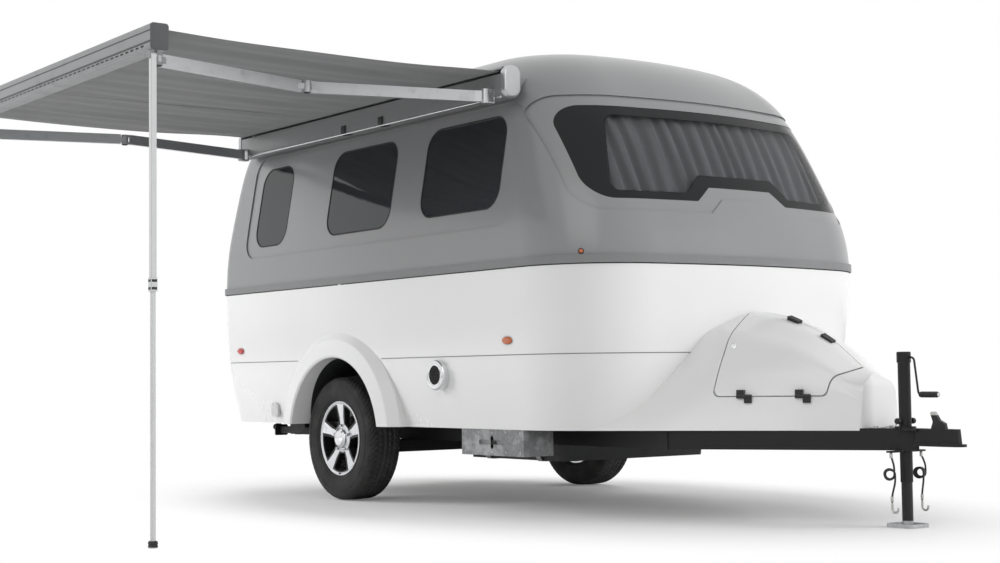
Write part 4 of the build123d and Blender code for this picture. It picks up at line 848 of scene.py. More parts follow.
OWN_FINISH: dict[str, Finish] = {
    "front_window": Finishes.FRONT,
    "jack_leg": Finishes.JACK,
    "coupler_latch": Finishes.LATCH,
    "service_box": Finishes.DULL_ZINC,
    "rim_right": Finishes.WHEEL,
    "rim_left": Finishes.WHEEL,
    "socket_cover": Finishes.LEG,
    # Painted shade: the cassette and its rail take a shaded grey in place of silver.
    "awning_cassette": Finishes.SHADED_CASSETTE,
    "entry_door": Finishes.DOOR,
    "awning_rail": Finishes.SHADED_CASSETTE,
}


# Surfaces on grids


def grid_quads(rows: int, cols: int, wrap_rows: bool, wrap_cols: bool) -> Array:
    """Corner numbers of the quads of a grid.

    Args:
        rows: points along the first parameter.
        cols: points along the second.
        wrap_rows: the last row joins the first.
        wrap_cols: the last column joins the first.

    Returns:
        An array of four corners a quad.
    """
    i, j = np.meshgrid(
        np.arange(rows if wrap_rows else rows - 1), np.arange(cols if wrap_cols else cols - 1), indexing="ij"
    )
    i_next, j_next = (i + 1) % rows, (j + 1) % cols
    corners = (i * cols + j, i_next * cols + j, i_next * cols + j_next, i * cols + j_next)
    return np.stack(corners, -1).reshape(-1, 4)


def unit(vectors: Array) -> Array:
    """Each vector divided by its length."""
    return vectors / np.maximum(np.linalg.norm(vectors, axis=-1, keepdims=True), TINY)


def basis(axis: Sequence[float]) -> tuple[Array, Array, Array]:
    """Two directions square to an axis, and the axis, all of length 1.

    Args:
        axis: the axis, of any length.

    Returns:
        The two directions and the axis.
    """
    along = unit(np.array(axis, float))
    helper = np.array(ALONG if abs(along[2]) > STEEP else UP)
    first = unit(np.cross(helper, along))
    return first, np.cross(along, first), along


def revolve(
    profile: Sequence[Sequence[float]], origin: Point, axis: Point, turns: int = 40, flats: int = 0
) -> Array:
    """A profile of radius and height turned about an axis.

    With flats, the radius at angle a is r cos(h) / cos(a mod 2h - h), a prism of that many sides
    with half-side angle h.

    Args:
        profile: radius and height pairs, from one end to the other.
        origin: point of height 0.
        axis: direction of the height.
        turns: points round the axis.
        flats: sides of a prism, or 0 for a round one.

    Returns:
        A grid of points, whose columns wrap.
    """
    first, second, along = basis(axis)
    rows = np.array(profile, float)
    angle = np.linspace(0.0, TURN, turns, endpoint=False)
    scale = np.ones_like(angle)
    if flats:
        half = math.pi / flats
        scale = math.cos(half) / np.cos(np.mod(angle, 2 * half) - half)
    ring = np.cos(angle)[:, None] * first + np.sin(angle)[:, None] * second
    reach = rows[:, 0, None, None] * (ring * scale[:, None])[None]
    return np.array(origin) + reach + rows[:, 1, None, None] * along


def circle(radius: float, steps: int = 12) -> Array:
    """A round section of the sweep."""
    angle = np.linspace(0.0, TURN, steps, endpoint=False)
    return radius * np.stack((np.cos(angle), np.sin(angle)), -1)


def rounded_outline(width: float, height: float, radius: float, steps: int = 10) -> Array:
    """A rectangle with round corners: four quarter arcs about the corner centres, joined by straights.

    Args:
        width: its whole width.
        height: its whole height.
        radius: radius of the corners.
        steps: points on each corner.

    Returns:
        Points of the closed outline, about 0.
    """
    centres = np.array(((1, 1), (-1, 1), (-1, -1), (1, -1))) * (width / 2 - radius, height / 2 - radius)
    arc = np.linspace(0.0, QUARTER, steps)
    angle = arc[None, :] + QUARTER * np.arange(4)[:, None]
    points = centres[:, None, :] + radius * np.stack((np.cos(angle), np.sin(angle)), -1)
    return points.reshape(-1, 2)


def sweep(path: Array, section: Array, up: Sequence[float], closed: bool = False) -> Array:
    """A section carried along a path, square to it, its second axis nearest to up.

    Args:
        path: points of the path.
        section: points of the closed section.
        up: a direction, or one for each point.
        closed: the path is a loop.

    Returns:
        A grid whose columns wrap; an open one ends in the section's middle, so that it is closed.
    """
    if closed:
        tangent = unit(np.roll(path, -1, 0) - np.roll(path, 1, 0))
    else:
        tangent = unit(np.gradient(path, axis=0))
    across = unit(np.cross(tangent, np.broadcast_to(np.array(up, float), path.shape)))
    top = np.cross(across, tangent)
    rows = path[:, None] + section[None, :, 0, None] * across[:, None]
    rows = rows + section[None, :, 1, None] * top[:, None]
    if closed:
        return rows
    ends = [np.broadcast_to(row.mean(0), row.shape)[None] for row in (rows[0], rows[-1])]
    return np.concatenate((ends[0], rows, ends[1]))


def straight(start: Sequence[float], end: Sequence[float], steps: int = 2) -> Array:
    """Points along a straight run."""
    return np.linspace(np.array(start, float), np.array(end, float), steps)


@dataclass
class Mould:
    """Grids gathered into one closed mesh."""

    name: str
    points: list[Array] = field(default_factory=list)
    quads: list[Array] = field(default_factory=list)
    count: int = 0
    WELD: ClassVar[float] = 2e-6
    SLIVER: ClassVar[float] = 1e-7
    WASHER: ClassVar[Profile] = ((0.0, 0.0), (1.45, 0.0), (1.45, 0.14), (1.3, 0.2), (0.0, 0.2))
    HEAD: ClassVar[Profile] = ((0.0, 0.18), (1.0, 0.18), (1.0, 0.72), (0.86, 0.86), (0.0, 0.88))
    DOME: ClassVar[Profile] = (
        (0.0, 0.10), (0.30, 0.10), (0.36, 0.42), (0.62, 0.36), (0.9, 0.18), (1.0, 0.0), (1.0, -0.3),
        (0.0, -0.3),
    )

    def add(self, grid: Array, wrap_rows: bool = False, wrap_cols: bool = True) -> "Mould":
        """Adds a grid of points.

        Args:
            grid: rows and columns of points.
            wrap_rows: the last row joins the first.
            wrap_cols: the last column joins the first.

        Returns:
            The mould itself.
        """
        rows, cols = grid.shape[:2]
        self.quads.append(grid_quads(rows, cols, wrap_rows, wrap_cols) + self.count)
        self.points.append(grid.reshape(-1, 3))
        self.count += rows * cols
        return self

    def piece(self, body: str, finish: Finish, slot: str, smooth: float = 40.0) -> bpy.types.Object:
        """Makes the object, with its faces turned outwards.

        Args:
            body: the body that it rides on.
            finish: its material.
            slot: the record's slot of that finish; not used.
            smooth: edges sharper than this many degrees stay sharp.

        Returns:
            The object, at the origin.
        """
        mesh = bpy.data.meshes.new(self.name)
        mesh.from_pydata(np.concatenate(self.points).tolist(), [], np.concatenate(self.quads).tolist())
        work = bmesh.new()
        work.from_mesh(mesh)
        bmesh.ops.remove_doubles(work, verts=work.verts, dist=self.WELD)
        bmesh.ops.dissolve_degenerate(work, edges=work.edges, dist=self.SLIVER)
        bmesh.ops.recalc_face_normals(work, faces=work.faces)
        work.to_mesh(mesh)
        work.free()
        mesh.shade_smooth()
        mesh.set_sharp_from_angle(angle=math.radians(smooth))
        mesh.materials.append(finish.material())
        made = bpy.data.objects.new(self.name, mesh)
        bpy.context.scene.collection.objects.link(made)
        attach(made, body)
        LOG.info("%s on %s: %d faces", self.name, body, len(mesh.polygons))
        return made

    def bolt(self, at: Point, axis: Point, size: float = 0.010) -> "Mould":
        """A hexagon head on a round washer, about size from the middle to a corner."""
        self.add(revolve(np.array(self.WASHER) * size, at, axis, 24))
        return self.add(revolve(np.array(self.HEAD) * size, at, axis, 24, 6))

    def screw(self, at: Point, axis: Point, size: float = 0.006) -> "Mould":
        """A low domed screw head with a round socket."""
        return self.add(revolve(np.array(self.DOME) * size, at, axis, 18))


def thicken(cloth: bpy.types.Object, thickness: float) -> None:
    """Gives a sheet its thickness, half to each side."""
    skin = cloth.modifiers.new("cloth_thickness", "SOLIDIFY")
    skin.thickness, skin.offset = thickness, 0.0


class Surface:
    """A node's triangles seen along one axis, to set pieces on its outermost face.

    A ray meets a triangle where its three barycentric shares are all positive; the depth is the
    corners' depths weighted by those shares, and the outermost depth is kept.
    """

    SLACK: ClassVar[float] = 1e-6

    def __init__(self, node: str, axis: int, sign: float) -> None:
        """Reads the node's triangles.

        Args:
            node: the node's name.
            axis: axis of the rays, 0 to 2.
            sign: side that the rays come from.
        """
        mesh = frame["nodes"][node].data
        places = np.zeros(len(mesh.vertices) * 3)
        corners = np.zeros(len(mesh.loops), dtype=np.int32)
        mesh.vertices.foreach_get("co", places)
        mesh.loops.foreach_get("vertex_index", corners)
        self.axis, self.sign = axis, sign
        self.triangles = places.reshape(-1, 3)[corners].reshape(-1, 3, 3)
        self.out = np.zeros(3)
        self.out[axis] = sign

    @staticmethod
    def turned(first: Array, second: Array) -> Array:
        """Signed area of the parallelogram on two flat vectors."""
        return first[..., 0] * second[..., 1] - first[..., 1] * second[..., 0]

    def depth(self, points: Array) -> Array:
        """Depth of the outermost face at points of the other two axes; a miss takes its neighbours'.

        Args:
            points: rows of the other two axes' values.

        Returns:
            A depth for each row.
        """
        flat = np.delete(self.triangles, self.axis, 2)
        near = np.all((flat.max(1) >= points.min(0)) & (flat.min(1) <= points.max(0)), axis=1)
        flat, deep = flat[near], self.triangles[near][:, :, self.axis]
        first, second = flat[:, 1] - flat[:, 0], flat[:, 2] - flat[:, 0]
        area = self.turned(first, second)
        wide = np.abs(area) > TINY
        flat, deep, first, second, area = flat[wide], deep[wide], first[wide], second[wide], area[wide]
        away = points[:, None] - flat[None, :, 0]
        share_b = self.turned(away, second[None]) / area
        share_c = self.turned(first[None], away) / area
        slack = self.SLACK
        inside = (share_b > -slack) & (share_c > -slack) & (share_b + share_c < 1.0 + slack)
        found = deep[:, 0] + share_b * (deep[:, 1] - deep[:, 0]) + share_c * (deep[:, 2] - deep[:, 0])
        best = np.where(inside, found * self.sign, -np.inf).max(1)
        met = np.isfinite(best)
        rows = np.arange(len(points))
        return self.sign * np.interp(rows, rows[met], best[met])

    def on(self, points: Array, proud: float = 0.0) -> Array:
        """Points put on the face, proud of it along the axis."""
        return np.insert(points, self.axis, self.depth(points) + self.sign * proud, axis=1)

    def seat(self, u: float, v: float, step: float = 0.006) -> tuple[Array, Array]:
        """A point of the face and its normal, from the depths at three points near it.

        Args:
            u: the point's place on the first of the other two axes.
            v: its place on the second.
            step: how far off the two further points are.

        Returns:
            The point and the outward normal.
        """
        near = self.on(np.array(((u, v), (u + step, v), (u, v + step))))
        normal = unit(np.cross(near[1] - near[0], near[2] - near[0]))
        return near[0], normal * np.sign(normal[self.axis] * self.sign)


def spaced(path: Array, count: int, closed: bool = False) -> Array:
    """Points at even steps along a path, by its running length.

    Args:
        path: points of the path.
        count: points wanted.
        closed: the path is a loop.

    Returns:
        The new points.
    """
    if closed:
        path = np.concatenate((path, path[:1]))
    run = np.concatenate(([0.0], np.cumsum(np.linalg.norm(np.diff(path, axis=0), axis=1))))
    at = np.linspace(0.0, run[-1], count, endpoint=not closed)
    return np.stack([np.interp(at, run, path[:, part]) for part in range(path.shape[1])], -1)


def right_face(low: Any, high: Any) -> Point:
    """Middle of the right-hand face of a box, from its corners."""
    return (low.x + high.x) / 2, low.y, (low.z + high.z) / 2


def plate(outline: Array, middle: Point, axis: int, steps: Sequence[Pair]) -> Array:
    """A closed outline stacked along an axis.

    Args:
        outline: points in the other two axes, about 0.
        middle: place of the outline's middle.
        axis: axis of the stack.
        steps: height along the axis and size of the outline there, from one face to the other.

    Returns:
        A grid whose columns wrap, with both ends closed in a point.
    """
    rows = [(steps[0][0], 0.0), *steps, (steps[-1][0], 0.0)]
    stack = [np.insert(outline * size, axis, height, axis=1) for height, size in rows]
    return np.array(stack) + np.array(middle)


# Sub-assemblies


@dataclass(frozen=True)
class SoftBox:
    """A square lamp: its place, the point that it faces, its side, its watts, and if gloss shows it."""

    name: str
    at: Point
    to: Point
    size: float
    power: float
    mirrored: bool = False


@dataclass
class Stage:
    """Floor, light and camera of a plain white studio."""

    focal_px: float = 1648.8
    frame_px: float = 1000.0
    sensor: float = 36.0
    eye: Point = (4.9535, -6.0183, 0.7123)
    yaw: float = 36.835
    pitch: float = 3.274
    roll: float = -0.715
    view_end: float = 200.0
    floor_reach: float = 60.0
    floor_grey: Colour = (0.92, 0.92, 0.92)
    floor_lift: float = 0.12
    oval_at: Pair = (-2.5, -0.15)
    oval: Pair = (2.8, 1.55)
    fade: Pair = (0.74, 1.30)
    ambient: float = 0.47
    white: Colour = (1.0, 1.0, 1.0)
    boxes: tuple[SoftBox, ...] = (
        SoftBox("key", (3.5, -9.0, 7.5), (-2.0, 0.0, 1.0), 7.0, 210.0, mirrored=True),
        SoftBox("rear_side", (-10.0, -7.0, 4.2), (-3.5, -1.0, 1.0), 5.0, 560.0),
        SoftBox("front_side", (8.0, 6.5, 4.5), (-0.5, 0.5, 1.0), 5.0, 780.0),
        SoftBox("back_fill", (-9.0, 7.0, 6.0), (-3.0, 0.0, 1.0), 6.0, 320.0),
    )

    def build(self) -> None:
        """Builds the stage."""
        bpy.context.scene.view_settings.view_transform = "Standard"
        self.camera()
        self.floor()
        self.world()
        for box in self.boxes:
            self.lamp(box)

    @staticmethod
    def stand(data: Any, axes: Sequence[Array], at: Point) -> bpy.types.Object:
        """Adds a camera or a lamp.

        Args:
            data: the camera's or the lamp's data.
            axes: its own three axes; it looks against the third.
            at: its place.

        Returns:
            The object.
        """
        turn = np.eye(4)
        turn[:3, :3] = np.stack(axes, -1)
        turn[:3, 3] = at
        made = bpy.data.objects.new(data.name, data)
        made.matrix_world = Matrix(turn.tolist())
        bpy.context.scene.collection.objects.link(made)
        return made

    def camera(self) -> None:
        """Camera from its yaw, pitch and roll; yaw turns the view from -X towards +Y."""
        yaw, pitch, roll = (math.radians(angle) for angle in (self.yaw, self.pitch, self.roll))
        level_x, level_y = -math.cos(yaw), math.sin(yaw)
        ahead = np.array((level_x * math.cos(pitch), level_y * math.cos(pitch), math.sin(pitch)))
        level = unit(np.cross(ahead, UP))
        top = np.cross(level, ahead)
        right = level * math.cos(roll) + top * math.sin(roll)
        up = top * math.cos(roll) - level * math.sin(roll)
        data = bpy.data.cameras.new("photo_camera")
        data.sensor_width = self.sensor
        data.lens = self.focal_px / self.frame_px * self.sensor
        data.clip_end = self.view_end
        bpy.context.scene.camera = self.stand(data, (right, up, -ahead), self.eye)

    def floor(self) -> None:
        """A pale floor that fades to the white surround past an oval round the caravan."""
        paint = Paint("studio_floor")
        along, across, _ = paint.axes()
        out_x = (along - self.oval_at[0]) / self.oval[0]
        out_y = (across - self.oval_at[1]) / self.oval[1]
        far = (out_x * out_x + out_y * out_y) ** 0.5
        sight = paint.node("LightPath", {}, {}, "Is Camera Ray")
        pale = paint.node("BsdfDiffuse", {}, {"Color": paint.opaque(self.floor_grey)})
        white = paint.node("Emission", {}, {"Color": paint.opaque(self.white), "Strength": 1.0})
        bright = far.step(*self.fade).most(self.floor_lift)
        mesh = bpy.data.meshes.new("studio_floor")
        reach = self.floor_reach
        corners = [(-reach, -reach, 0.0), (reach, -reach, 0.0), (reach, reach, 0.0), (-reach, reach, 0.0)]
        mesh.from_pydata(corners, [], [(0, 1, 2, 3)])
        mesh.materials.append(paint.done(paint.blend(bright * sight, pale, white)))
        made = bpy.data.objects.new("studio_floor", mesh)
        bpy.context.scene.collection.objects.link(made)

    def world(self) -> None:
        """White to the camera and in reflections, softer as light."""
        world = bpy.data.worlds.new("studio")
        world.use_nodes = True
        bpy.context.scene.world = world
        nodes, links = world.node_tree.nodes, world.node_tree.links
        nodes.clear()
        path = nodes.new("ShaderNodeLightPath")
        seen = path.outputs["Is Camera Ray"]
        for word in ("Is Glossy Ray", "Is Transmission Ray"):
            either = nodes.new("ShaderNodeMath")
            either.operation = "MAXIMUM"
            links.new(seen, either.inputs[0])
            links.new(path.outputs[word], either.inputs[1])
            seen = either.outputs[0]
        strength = nodes.new("ShaderNodeMapRange")
        strength.inputs["To Min"].default_value = self.ambient
        links.new(seen, strength.inputs["Value"])
        sky = nodes.new("ShaderNodeBackground")
        links.new(strength.outputs[0], sky.inputs["Strength"])
        sky.inputs["Color"].default_value = (*self.white, 1.0)
        output = nodes.new("ShaderNodeOutputWorld")
        links.new(sky.outputs[0], output.inputs[0])

    def lamp(self, box: SoftBox) -> None:
        """Adds a square soft box.

        Args:
            box: its values.
        """
        data = bpy.data.lights.new(box.name, "AREA")
        data.size, data.energy = box.size, box.power
        made = self.stand(data, basis(np.array(box.at) - np.array(box.to)), box.at)
        made.visible_glossy = box.mirrored


@dataclass
class SafetyCables:
    """Two coiled breakaway cables that hang from the drawbars, with their crimps."""

    y: float = 0.105
    exit_z: float = 0.342
    tail_foot: float = 0.117
    coil_z: float = 0.244
    coil_r: float = 0.0225
    cable_r: float = 0.0045
    turns: int = 3
    steps: int = 16
    aside: float = 0.0145
    facing: Pair = (0.80, 0.35)
    swell: float = 0.14
    swell_waves: float = 2.6
    loop_pitch: float = 2.3
    drawn: float = 0.985
    facets: int = 3
    smooth_steps: int = 4
    crimp_zs: Pair = (0.3285, 0.1335)
    SLEEVE: ClassVar[Profile] = (
        (0.0, -0.011), (0.0062, -0.011), (0.0070, -0.009), (0.0066, -0.004), (0.0072, 0.0),
        (0.0066, 0.004), (0.0070, 0.009), (0.0062, 0.011), (0.0, 0.011),
    )

    def route(self, side: Side) -> Array:
        """Down from the lug, three loose upright loops, and down to the hook.

        The cable comes down beside the loops' middle and runs into them without a bend: a point of
        the loops is the middle plus r cos(a) sideways, r sin(a) up and a share of the stack's
        width along their axis, with a going backwards from 0; r differs from loop to loop. Above and
        below them, a point has a share of the loops' sideways offset, a share of the stack's end and a
        height.

        Args:
            side: the cable's side.

        Returns:
            The control points.
        """
        heading = self.facing[0] if side is Side.RIGHT else self.facing[1]
        sideways = np.array((math.cos(heading), math.sin(heading), 0.0))
        axis = np.cross(sideways, UP)
        turn = np.linspace(0.0, -TURN * self.turns, self.turns * self.steps + 1)
        share = turn / turn[-1]
        swell = self.swell * np.sin(math.pi * share)
        radius = self.coil_r * (1.0 + swell * np.sin(self.swell_waves * share * math.pi + side.sign))
        across = self.aside + radius * (np.cos(turn) - 1.0)
        stack = (share - 0.5) * self.turns * self.loop_pitch * self.cable_r
        height = self.coil_z + radius * np.sin(turn)
        loops = across[:, None] * sideways + stack[:, None] * axis + height[:, None] * np.array(UP)
        above = ((0.0, 0.0, self.exit_z), (0.0, 0.1, 0.326), (0.45, 0.5, 0.306), (0.95, 1.0, 0.280))
        below = ((0.95, 1.0, 0.208), (0.45, 0.5, 0.176), (0.0, 0.1, 0.146), (0.0, 0.0, self.tail_foot))
        lead, tail = (
            [self.aside * a * sideways + end * b * axis + (0.0, 0.0, z) for a, b, z in spots]
            for end, spots in ((stack[0], above), (stack[-1], below))
        )
        return np.concatenate((lead, loops, tail)) + (0.0, side.sign * self.y, 0.0)

    def build(self) -> None:
        """Builds both cables."""
        for side in Side:
            self.cable(side)

    def cable(self, side: Side) -> None:
        """One cable as a NURBS curve on its route, with two crimps.

        Args:
            side: the cable's side.
        """
        points = self.route(side)
        curve = bpy.data.curves.new(f"safety_cord_{side.word}", "CURVE")
        curve.dimensions = "3D"
        curve.bevel_depth = self.cable_r
        curve.bevel_resolution = self.facets
        curve.resolution_u = self.smooth_steps
        curve.use_fill_caps = True
        spline = curve.splines.new("NURBS")
        spline.points.add(len(points) - 1)
        spline.points.foreach_set("co", np.c_[points, np.ones(len(points))].ravel())
        spline.order_u = 3
        spline.use_endpoint_u = True
        spline.use_smooth = True
        curve.materials.append(Finishes.CABLE.material())
        cord = bpy.data.objects.new(curve.name, curve)
        bpy.context.scene.collection.objects.link(cord)
        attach(cord, "caravan")
        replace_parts(cord, f"safety_cable_{side.word}", f"safety_coil_{side.word}")
        crimps = Mould(f"safety_crimps_{side.word}")
        for height in self.crimp_zs:
            crimps.add(revolve(self.SLEEVE, (0.0, side.sign * self.y, height), UP, 20))
        pair = crimps.piece("caravan", Finishes.HOOK, "hook_steel")


@dataclass
class Canopy:
    """The awning's cloth: stretched from the cassette to the lead bar, sagging and rippled between."""

    rear_x: float = -4.388
    front_x: float = -1.662
    wall_y: float = -1.052
    bar_y: float = -2.9775
    level: float = 2.2503
    sag: float = 0.011
    ripple: Pair = (0.0050, 0.0032)
    pull: Pair = (0.0042, 0.0045)
    bow: float = 0.010
    thickness: float = 0.0014
    hem: Rounded = (0.022, 0.0030, 0.0014)
    hem_shares: tuple[float, ...] = (0.004, 0.345, 0.672, 0.996)
    folded: float = 0.073  # share of its reach that still shows when the lead bar is drawn in
    columns: int = 220
    rows: int = 130

    def build(self) -> None:
        """Builds the cloth, its seams and its hems."""
        across = np.linspace(0.0, 1.0, self.columns)[None, :]
        out = np.linspace(0.0, 1.0, self.rows)[:, None]
        sheet = Mould("awning_canopy").add(self.surface(out, across), wrap_cols=False)
        cloth = sheet.piece("caravan", Finishes.CANOPY, "awning_cloth", 80)
        thicken(cloth, self.thickness)
        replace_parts(cloth, "canopy")
        hems = self.hems()
        for soft in (cloth, hems):
            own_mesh(soft)

    def surface(self, out: Array, across: Array) -> Array:
        """Height at (out, across): a sag of 4t(1-t) one way, slack waves that fade at the held edges.

        Args:
            out: share of the way from the cassette to the lead bar.
            across: share of the way from the rear edge to the front edge.

        Returns:
            A grid of points.
        """
        out, across = np.broadcast_arrays(out, across)
        held = np.sin(math.pi * out) ** 0.6
        edge = np.minimum(across, 1.0 - across)
        loose = 0.35 + 0.65 * np.exp(-edge / 0.10)
        belly = -self.sag * 4.0 * out * (1.0 - out) * (0.55 + 0.45 * loose)
        wave = self.ripple[0] * np.sin(TURN * (7.3 * across + 0.45 * np.sin(3.1 * out)) + 1.2)
        wave += self.ripple[1] * np.sin(TURN * (15.1 * across - 0.8 * out) + 0.4)
        pull = self.pull[0] * np.sin(TURN * (5.0 * across + 2.3 * out)) * np.exp(-out / 0.22)
        pull += self.pull[1] * np.sin(TURN * (4.0 * across - 2.0 * out) + 2.0) * np.exp(-(1.0 - out) / 0.18)
        x = self.rear_x + across * (self.front_x - self.rear_x)
        bow = self.bow * np.sin(math.pi * out) * np.sign(0.5 - across) * np.exp(-edge / 0.05)
        y = self.wall_y + out * (self.bar_y - self.wall_y)
        z = self.level + belly + held * (wave + pull)
        return np.stack((x + bow, y, z), -1)

    def hems(self) -> bpy.types.Object:
        """Rolled side hems and two seams, as flat bands on the cloth's own surface.

        Returns:
            The bands as one piece.
        """
        band = rounded_outline(*self.hem, 4)
        strips = Mould("canopy_hems")
        out = np.linspace(0.0, 1.0, self.rows)
        for share in self.hem_shares:
            path = self.surface(out[:, None], np.array([[share]]))[:, 0]
            strips.add(sweep(path, band, UP))
        return strips.piece("caravan", Finishes.CANOPY, "awning_cloth")


@dataclass
class FrontCurtain:
    """A pleated curtain inside the front window."""

    pitch: float = 0.092
    swing: float = 0.013
    margin: Pair = (0.03, 0.02)
    inset: float = 0.016
    thickness: float = 0.0012
    columns: int = 420
    rows: int = 26

    def build(self) -> None:
        """Pleats are a sine across the window, deeper to the foot, on the inner face of the front wall."""
        low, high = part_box("front_curtain")
        wall = Surface("front_curtain", 0, 1.0)
        side, end = self.margin
        across = np.linspace(low.y + side, high.y - side, self.columns)[None, :]
        height = np.linspace(low.z + end, high.z - end, self.rows)[:, None]
        across, height = np.broadcast_arrays(across, height)
        drop = (high.z - height) / (high.z - low.z)
        phase = TURN * across / self.pitch + 1.1 * np.sin(7.0 * across)
        phase = phase + 0.6 * np.sin(3.0 * height + 19.0 * across)
        fold = self.swing * (0.75 + 0.25 * drop) * (np.sin(phase) + 0.22 * np.sin(2.0 * phase + 0.7))
        hung = np.stack([wall.on(row, -self.inset) for row in np.stack((across, height), -1)])
        grid = hung + fold[..., None] * wall.out
        cloth = Mould("front_curtain_cloth").add(grid, wrap_cols=False)
        made = cloth.piece("caravan", Finishes.CURTAIN, "curtain_cloth", 80)
        thicken(made, self.thickness)
        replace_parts(made, "front_curtain")


@dataclass
class Tyres:
    """Two road tyres with ribbed walls and a block tread."""

    axle: Pair = AXLE
    middle_y: float = 0.888
    crown_r: float = 0.3598
    crown_drop: float = 0.0045
    tread_half: float = 0.088
    relief_from: float = 0.318
    relief_fade: float = 0.02
    grooves: Pair = (0.0505, 0.0165)
    groove_half: float = 0.0045
    groove_depth: float = 0.0080
    slot_depth: float = 0.0065
    slot_share: float = 0.24
    slot_slant: float = 34.0
    blocks: int = 68
    round_steps: int = 408
    WALL: ClassVar[Profile] = (
        (0.216, 0.086), (0.222, 0.096), (0.228, 0.101), (0.236, 0.104), (0.2365, 0.1065),
        (0.244, 0.1068), (0.2445, 0.1050), (0.262, 0.1098), (0.284, 0.1118), (0.300, 0.1115),
        (0.3005, 0.1130), (0.307, 0.1127), (0.3075, 0.1108),
    )
    SHOULDER: ClassVar[Profile] = (
        (0.322, 0.1085), (0.333, 0.1055), (0.342, 0.1010), (0.3485, 0.0950), (0.3530, 0.0880),
    )
    TREAD: ClassVar[tuple[float, ...]] = (
        *(0.080, 0.0700, 0.0600, 0.0545, 0.0535, 0.0475, 0.0465),
        *(0.0300, 0.0205, 0.0195, 0.0135, 0.0125, 0.0),
    )

    def profile(self) -> tuple[Array, Array, Array]:
        """Half the section, from the bead to the middle plane; the tread's crown is a parabola.

        Returns:
            Radius, offset from the middle plane and how much of the tread's relief each point takes.
        """
        radius, offset = np.array((*self.WALL, *self.SHOULDER)).T
        tread = np.array(self.TREAD)
        crown = self.crown_r - self.crown_drop * (tread / self.tread_half) ** 2
        radius, offset = np.concatenate((radius, crown)), np.concatenate((offset, tread))
        share = np.clip((radius - self.relief_from) / self.relief_fade, 0.0, 1.0)
        return radius, offset, share

    def build(self) -> None:
        """Builds both tyres."""
        for side in Side:
            self.tyre(side)

    def tyre(self, side: Side) -> None:
        """A ring of the section, cut by long grooves and by slanted slots between blocks.

        Args:
            side: the tyre's side.
        """
        halves = zip(self.profile(), (1.0, -1.0, 1.0))
        radius, offset, share = (np.concatenate((half, sign * half[-2::-1])) for half, sign in halves)
        away = np.abs(offset)
        outer, inner = self.grooves
        angle = np.linspace(0.0, TURN, self.round_steps, endpoint=False)
        groove = (np.abs(away - outer) < self.groove_half) | (np.abs(away - inner) < self.groove_half)
        slant = angle[None, :] * self.blocks / TURN + self.slot_slant * away[:, None]
        slant = slant + 0.5 * (away < outer)[:, None]
        slot = (np.mod(slant, 1.0) < self.slot_share) & (away > inner)[:, None]
        depth = share[:, None] * np.maximum(self.groove_depth * groove[:, None], self.slot_depth * slot)
        reach = radius[:, None] - depth
        x = self.axle[0] + reach * np.cos(angle)
        y = np.broadcast_to(side.sign * self.middle_y + offset[:, None], reach.shape)
        z = self.axle[1] + reach * np.sin(angle)
        made = Mould(f"road_tyre_{side.word}").add(np.stack((x, y, z), -1), wrap_rows=True)
        tyre = made.piece(f"wheel_{side.word}", Finishes.TYRE, "tyre", 35)
        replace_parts(tyre, f"tyre_{side.word}")


@dataclass
class WheelTrim:
    """Wheel nuts, tyre valve and brake drum of both wheels."""

    axle: Pair = AXLE
    nut_circle: float = 0.0735
    nuts: int = 5
    nut: float = 0.0092
    valve_r: float = 0.2045
    valve_y: float = 0.966
    HEXAGON: ClassVar[Profile] = ((0.0, -0.4), (1.0, -0.4), (1.0, 0.9), (0.9, 1.05), (0.0, 1.06))
    DOME: ClassVar[Profile] = (
        (0.0, 0.9), (0.84, 0.9), (0.80, 1.3), (0.60, 1.65), (0.30, 1.82), (0.0, 1.86),
    )
    STEM: ClassVar[Profile] = (
        (0.0, -0.004), (0.0058, -0.004), (0.0052, 0.004), (0.0036, 0.010), (0.0036, 0.0145),
        (0.0044, 0.015), (0.0044, 0.0225), (0.0036, 0.024), (0.0, 0.024),
    )
    DRUM: ClassVar[Profile] = (
        (0.074, 0.800), (0.128, 0.800), (0.136, 0.806), (0.136, 0.822), (0.129, 0.826), (0.129, 0.848),
        (0.133, 0.852), (0.133, 0.862), (0.129, 0.866), (0.126, 0.896), (0.118, 0.902), (0.074, 0.904),
    )

    def build(self) -> None:
        """Builds the trim of both wheels."""
        for side in Side:
            self.wheel(side)

    def wheel(self, side: Side) -> None:
        """Domed nuts on the hub's face, a valve at the rim's edge, and a ribbed drum behind the spokes.

        Args:
            side: the wheel's side.
        """
        out = (0.0, side.sign, 0.0)
        body = f"wheel_{side.word}"
        face = Surface(f"rim_{side.word}", 1, side.sign)
        angle = TURN * (np.arange(self.nuts) + 0.25) / self.nuts
        ring = np.array(self.axle) + self.nut_circle * np.stack((np.cos(angle), np.sin(angle)), -1)
        nuts = Mould(f"wheel_nuts_{side.word}")
        hexagon, dome = np.array(self.HEXAGON) * self.nut, np.array(self.DOME) * self.nut
        for seat in face.on(ring):
            nuts.add(revolve(hexagon, seat, out, 24, 6)).add(revolve(dome, seat, out, 18))
        nuts.piece(body, Finishes.CAP, "cap_chrome")
        seat = (self.axle[0], side.sign * self.valve_y, self.axle[1] - self.valve_r)
        valve = Mould(f"tyre_valve_{side.word}").add(revolve(self.STEM, seat, out, 16))
        valve.piece(body, Finishes.SEAL, "black_plastic")
        drum = Mould(f"brake_drum_{side.word}")
        drum.add(revolve(self.DRUM, (self.axle[0], 0.0, self.axle[1]), out, 64), wrap_rows=True)
        drum.piece(body, Finishes.IRON, "chassis_black")


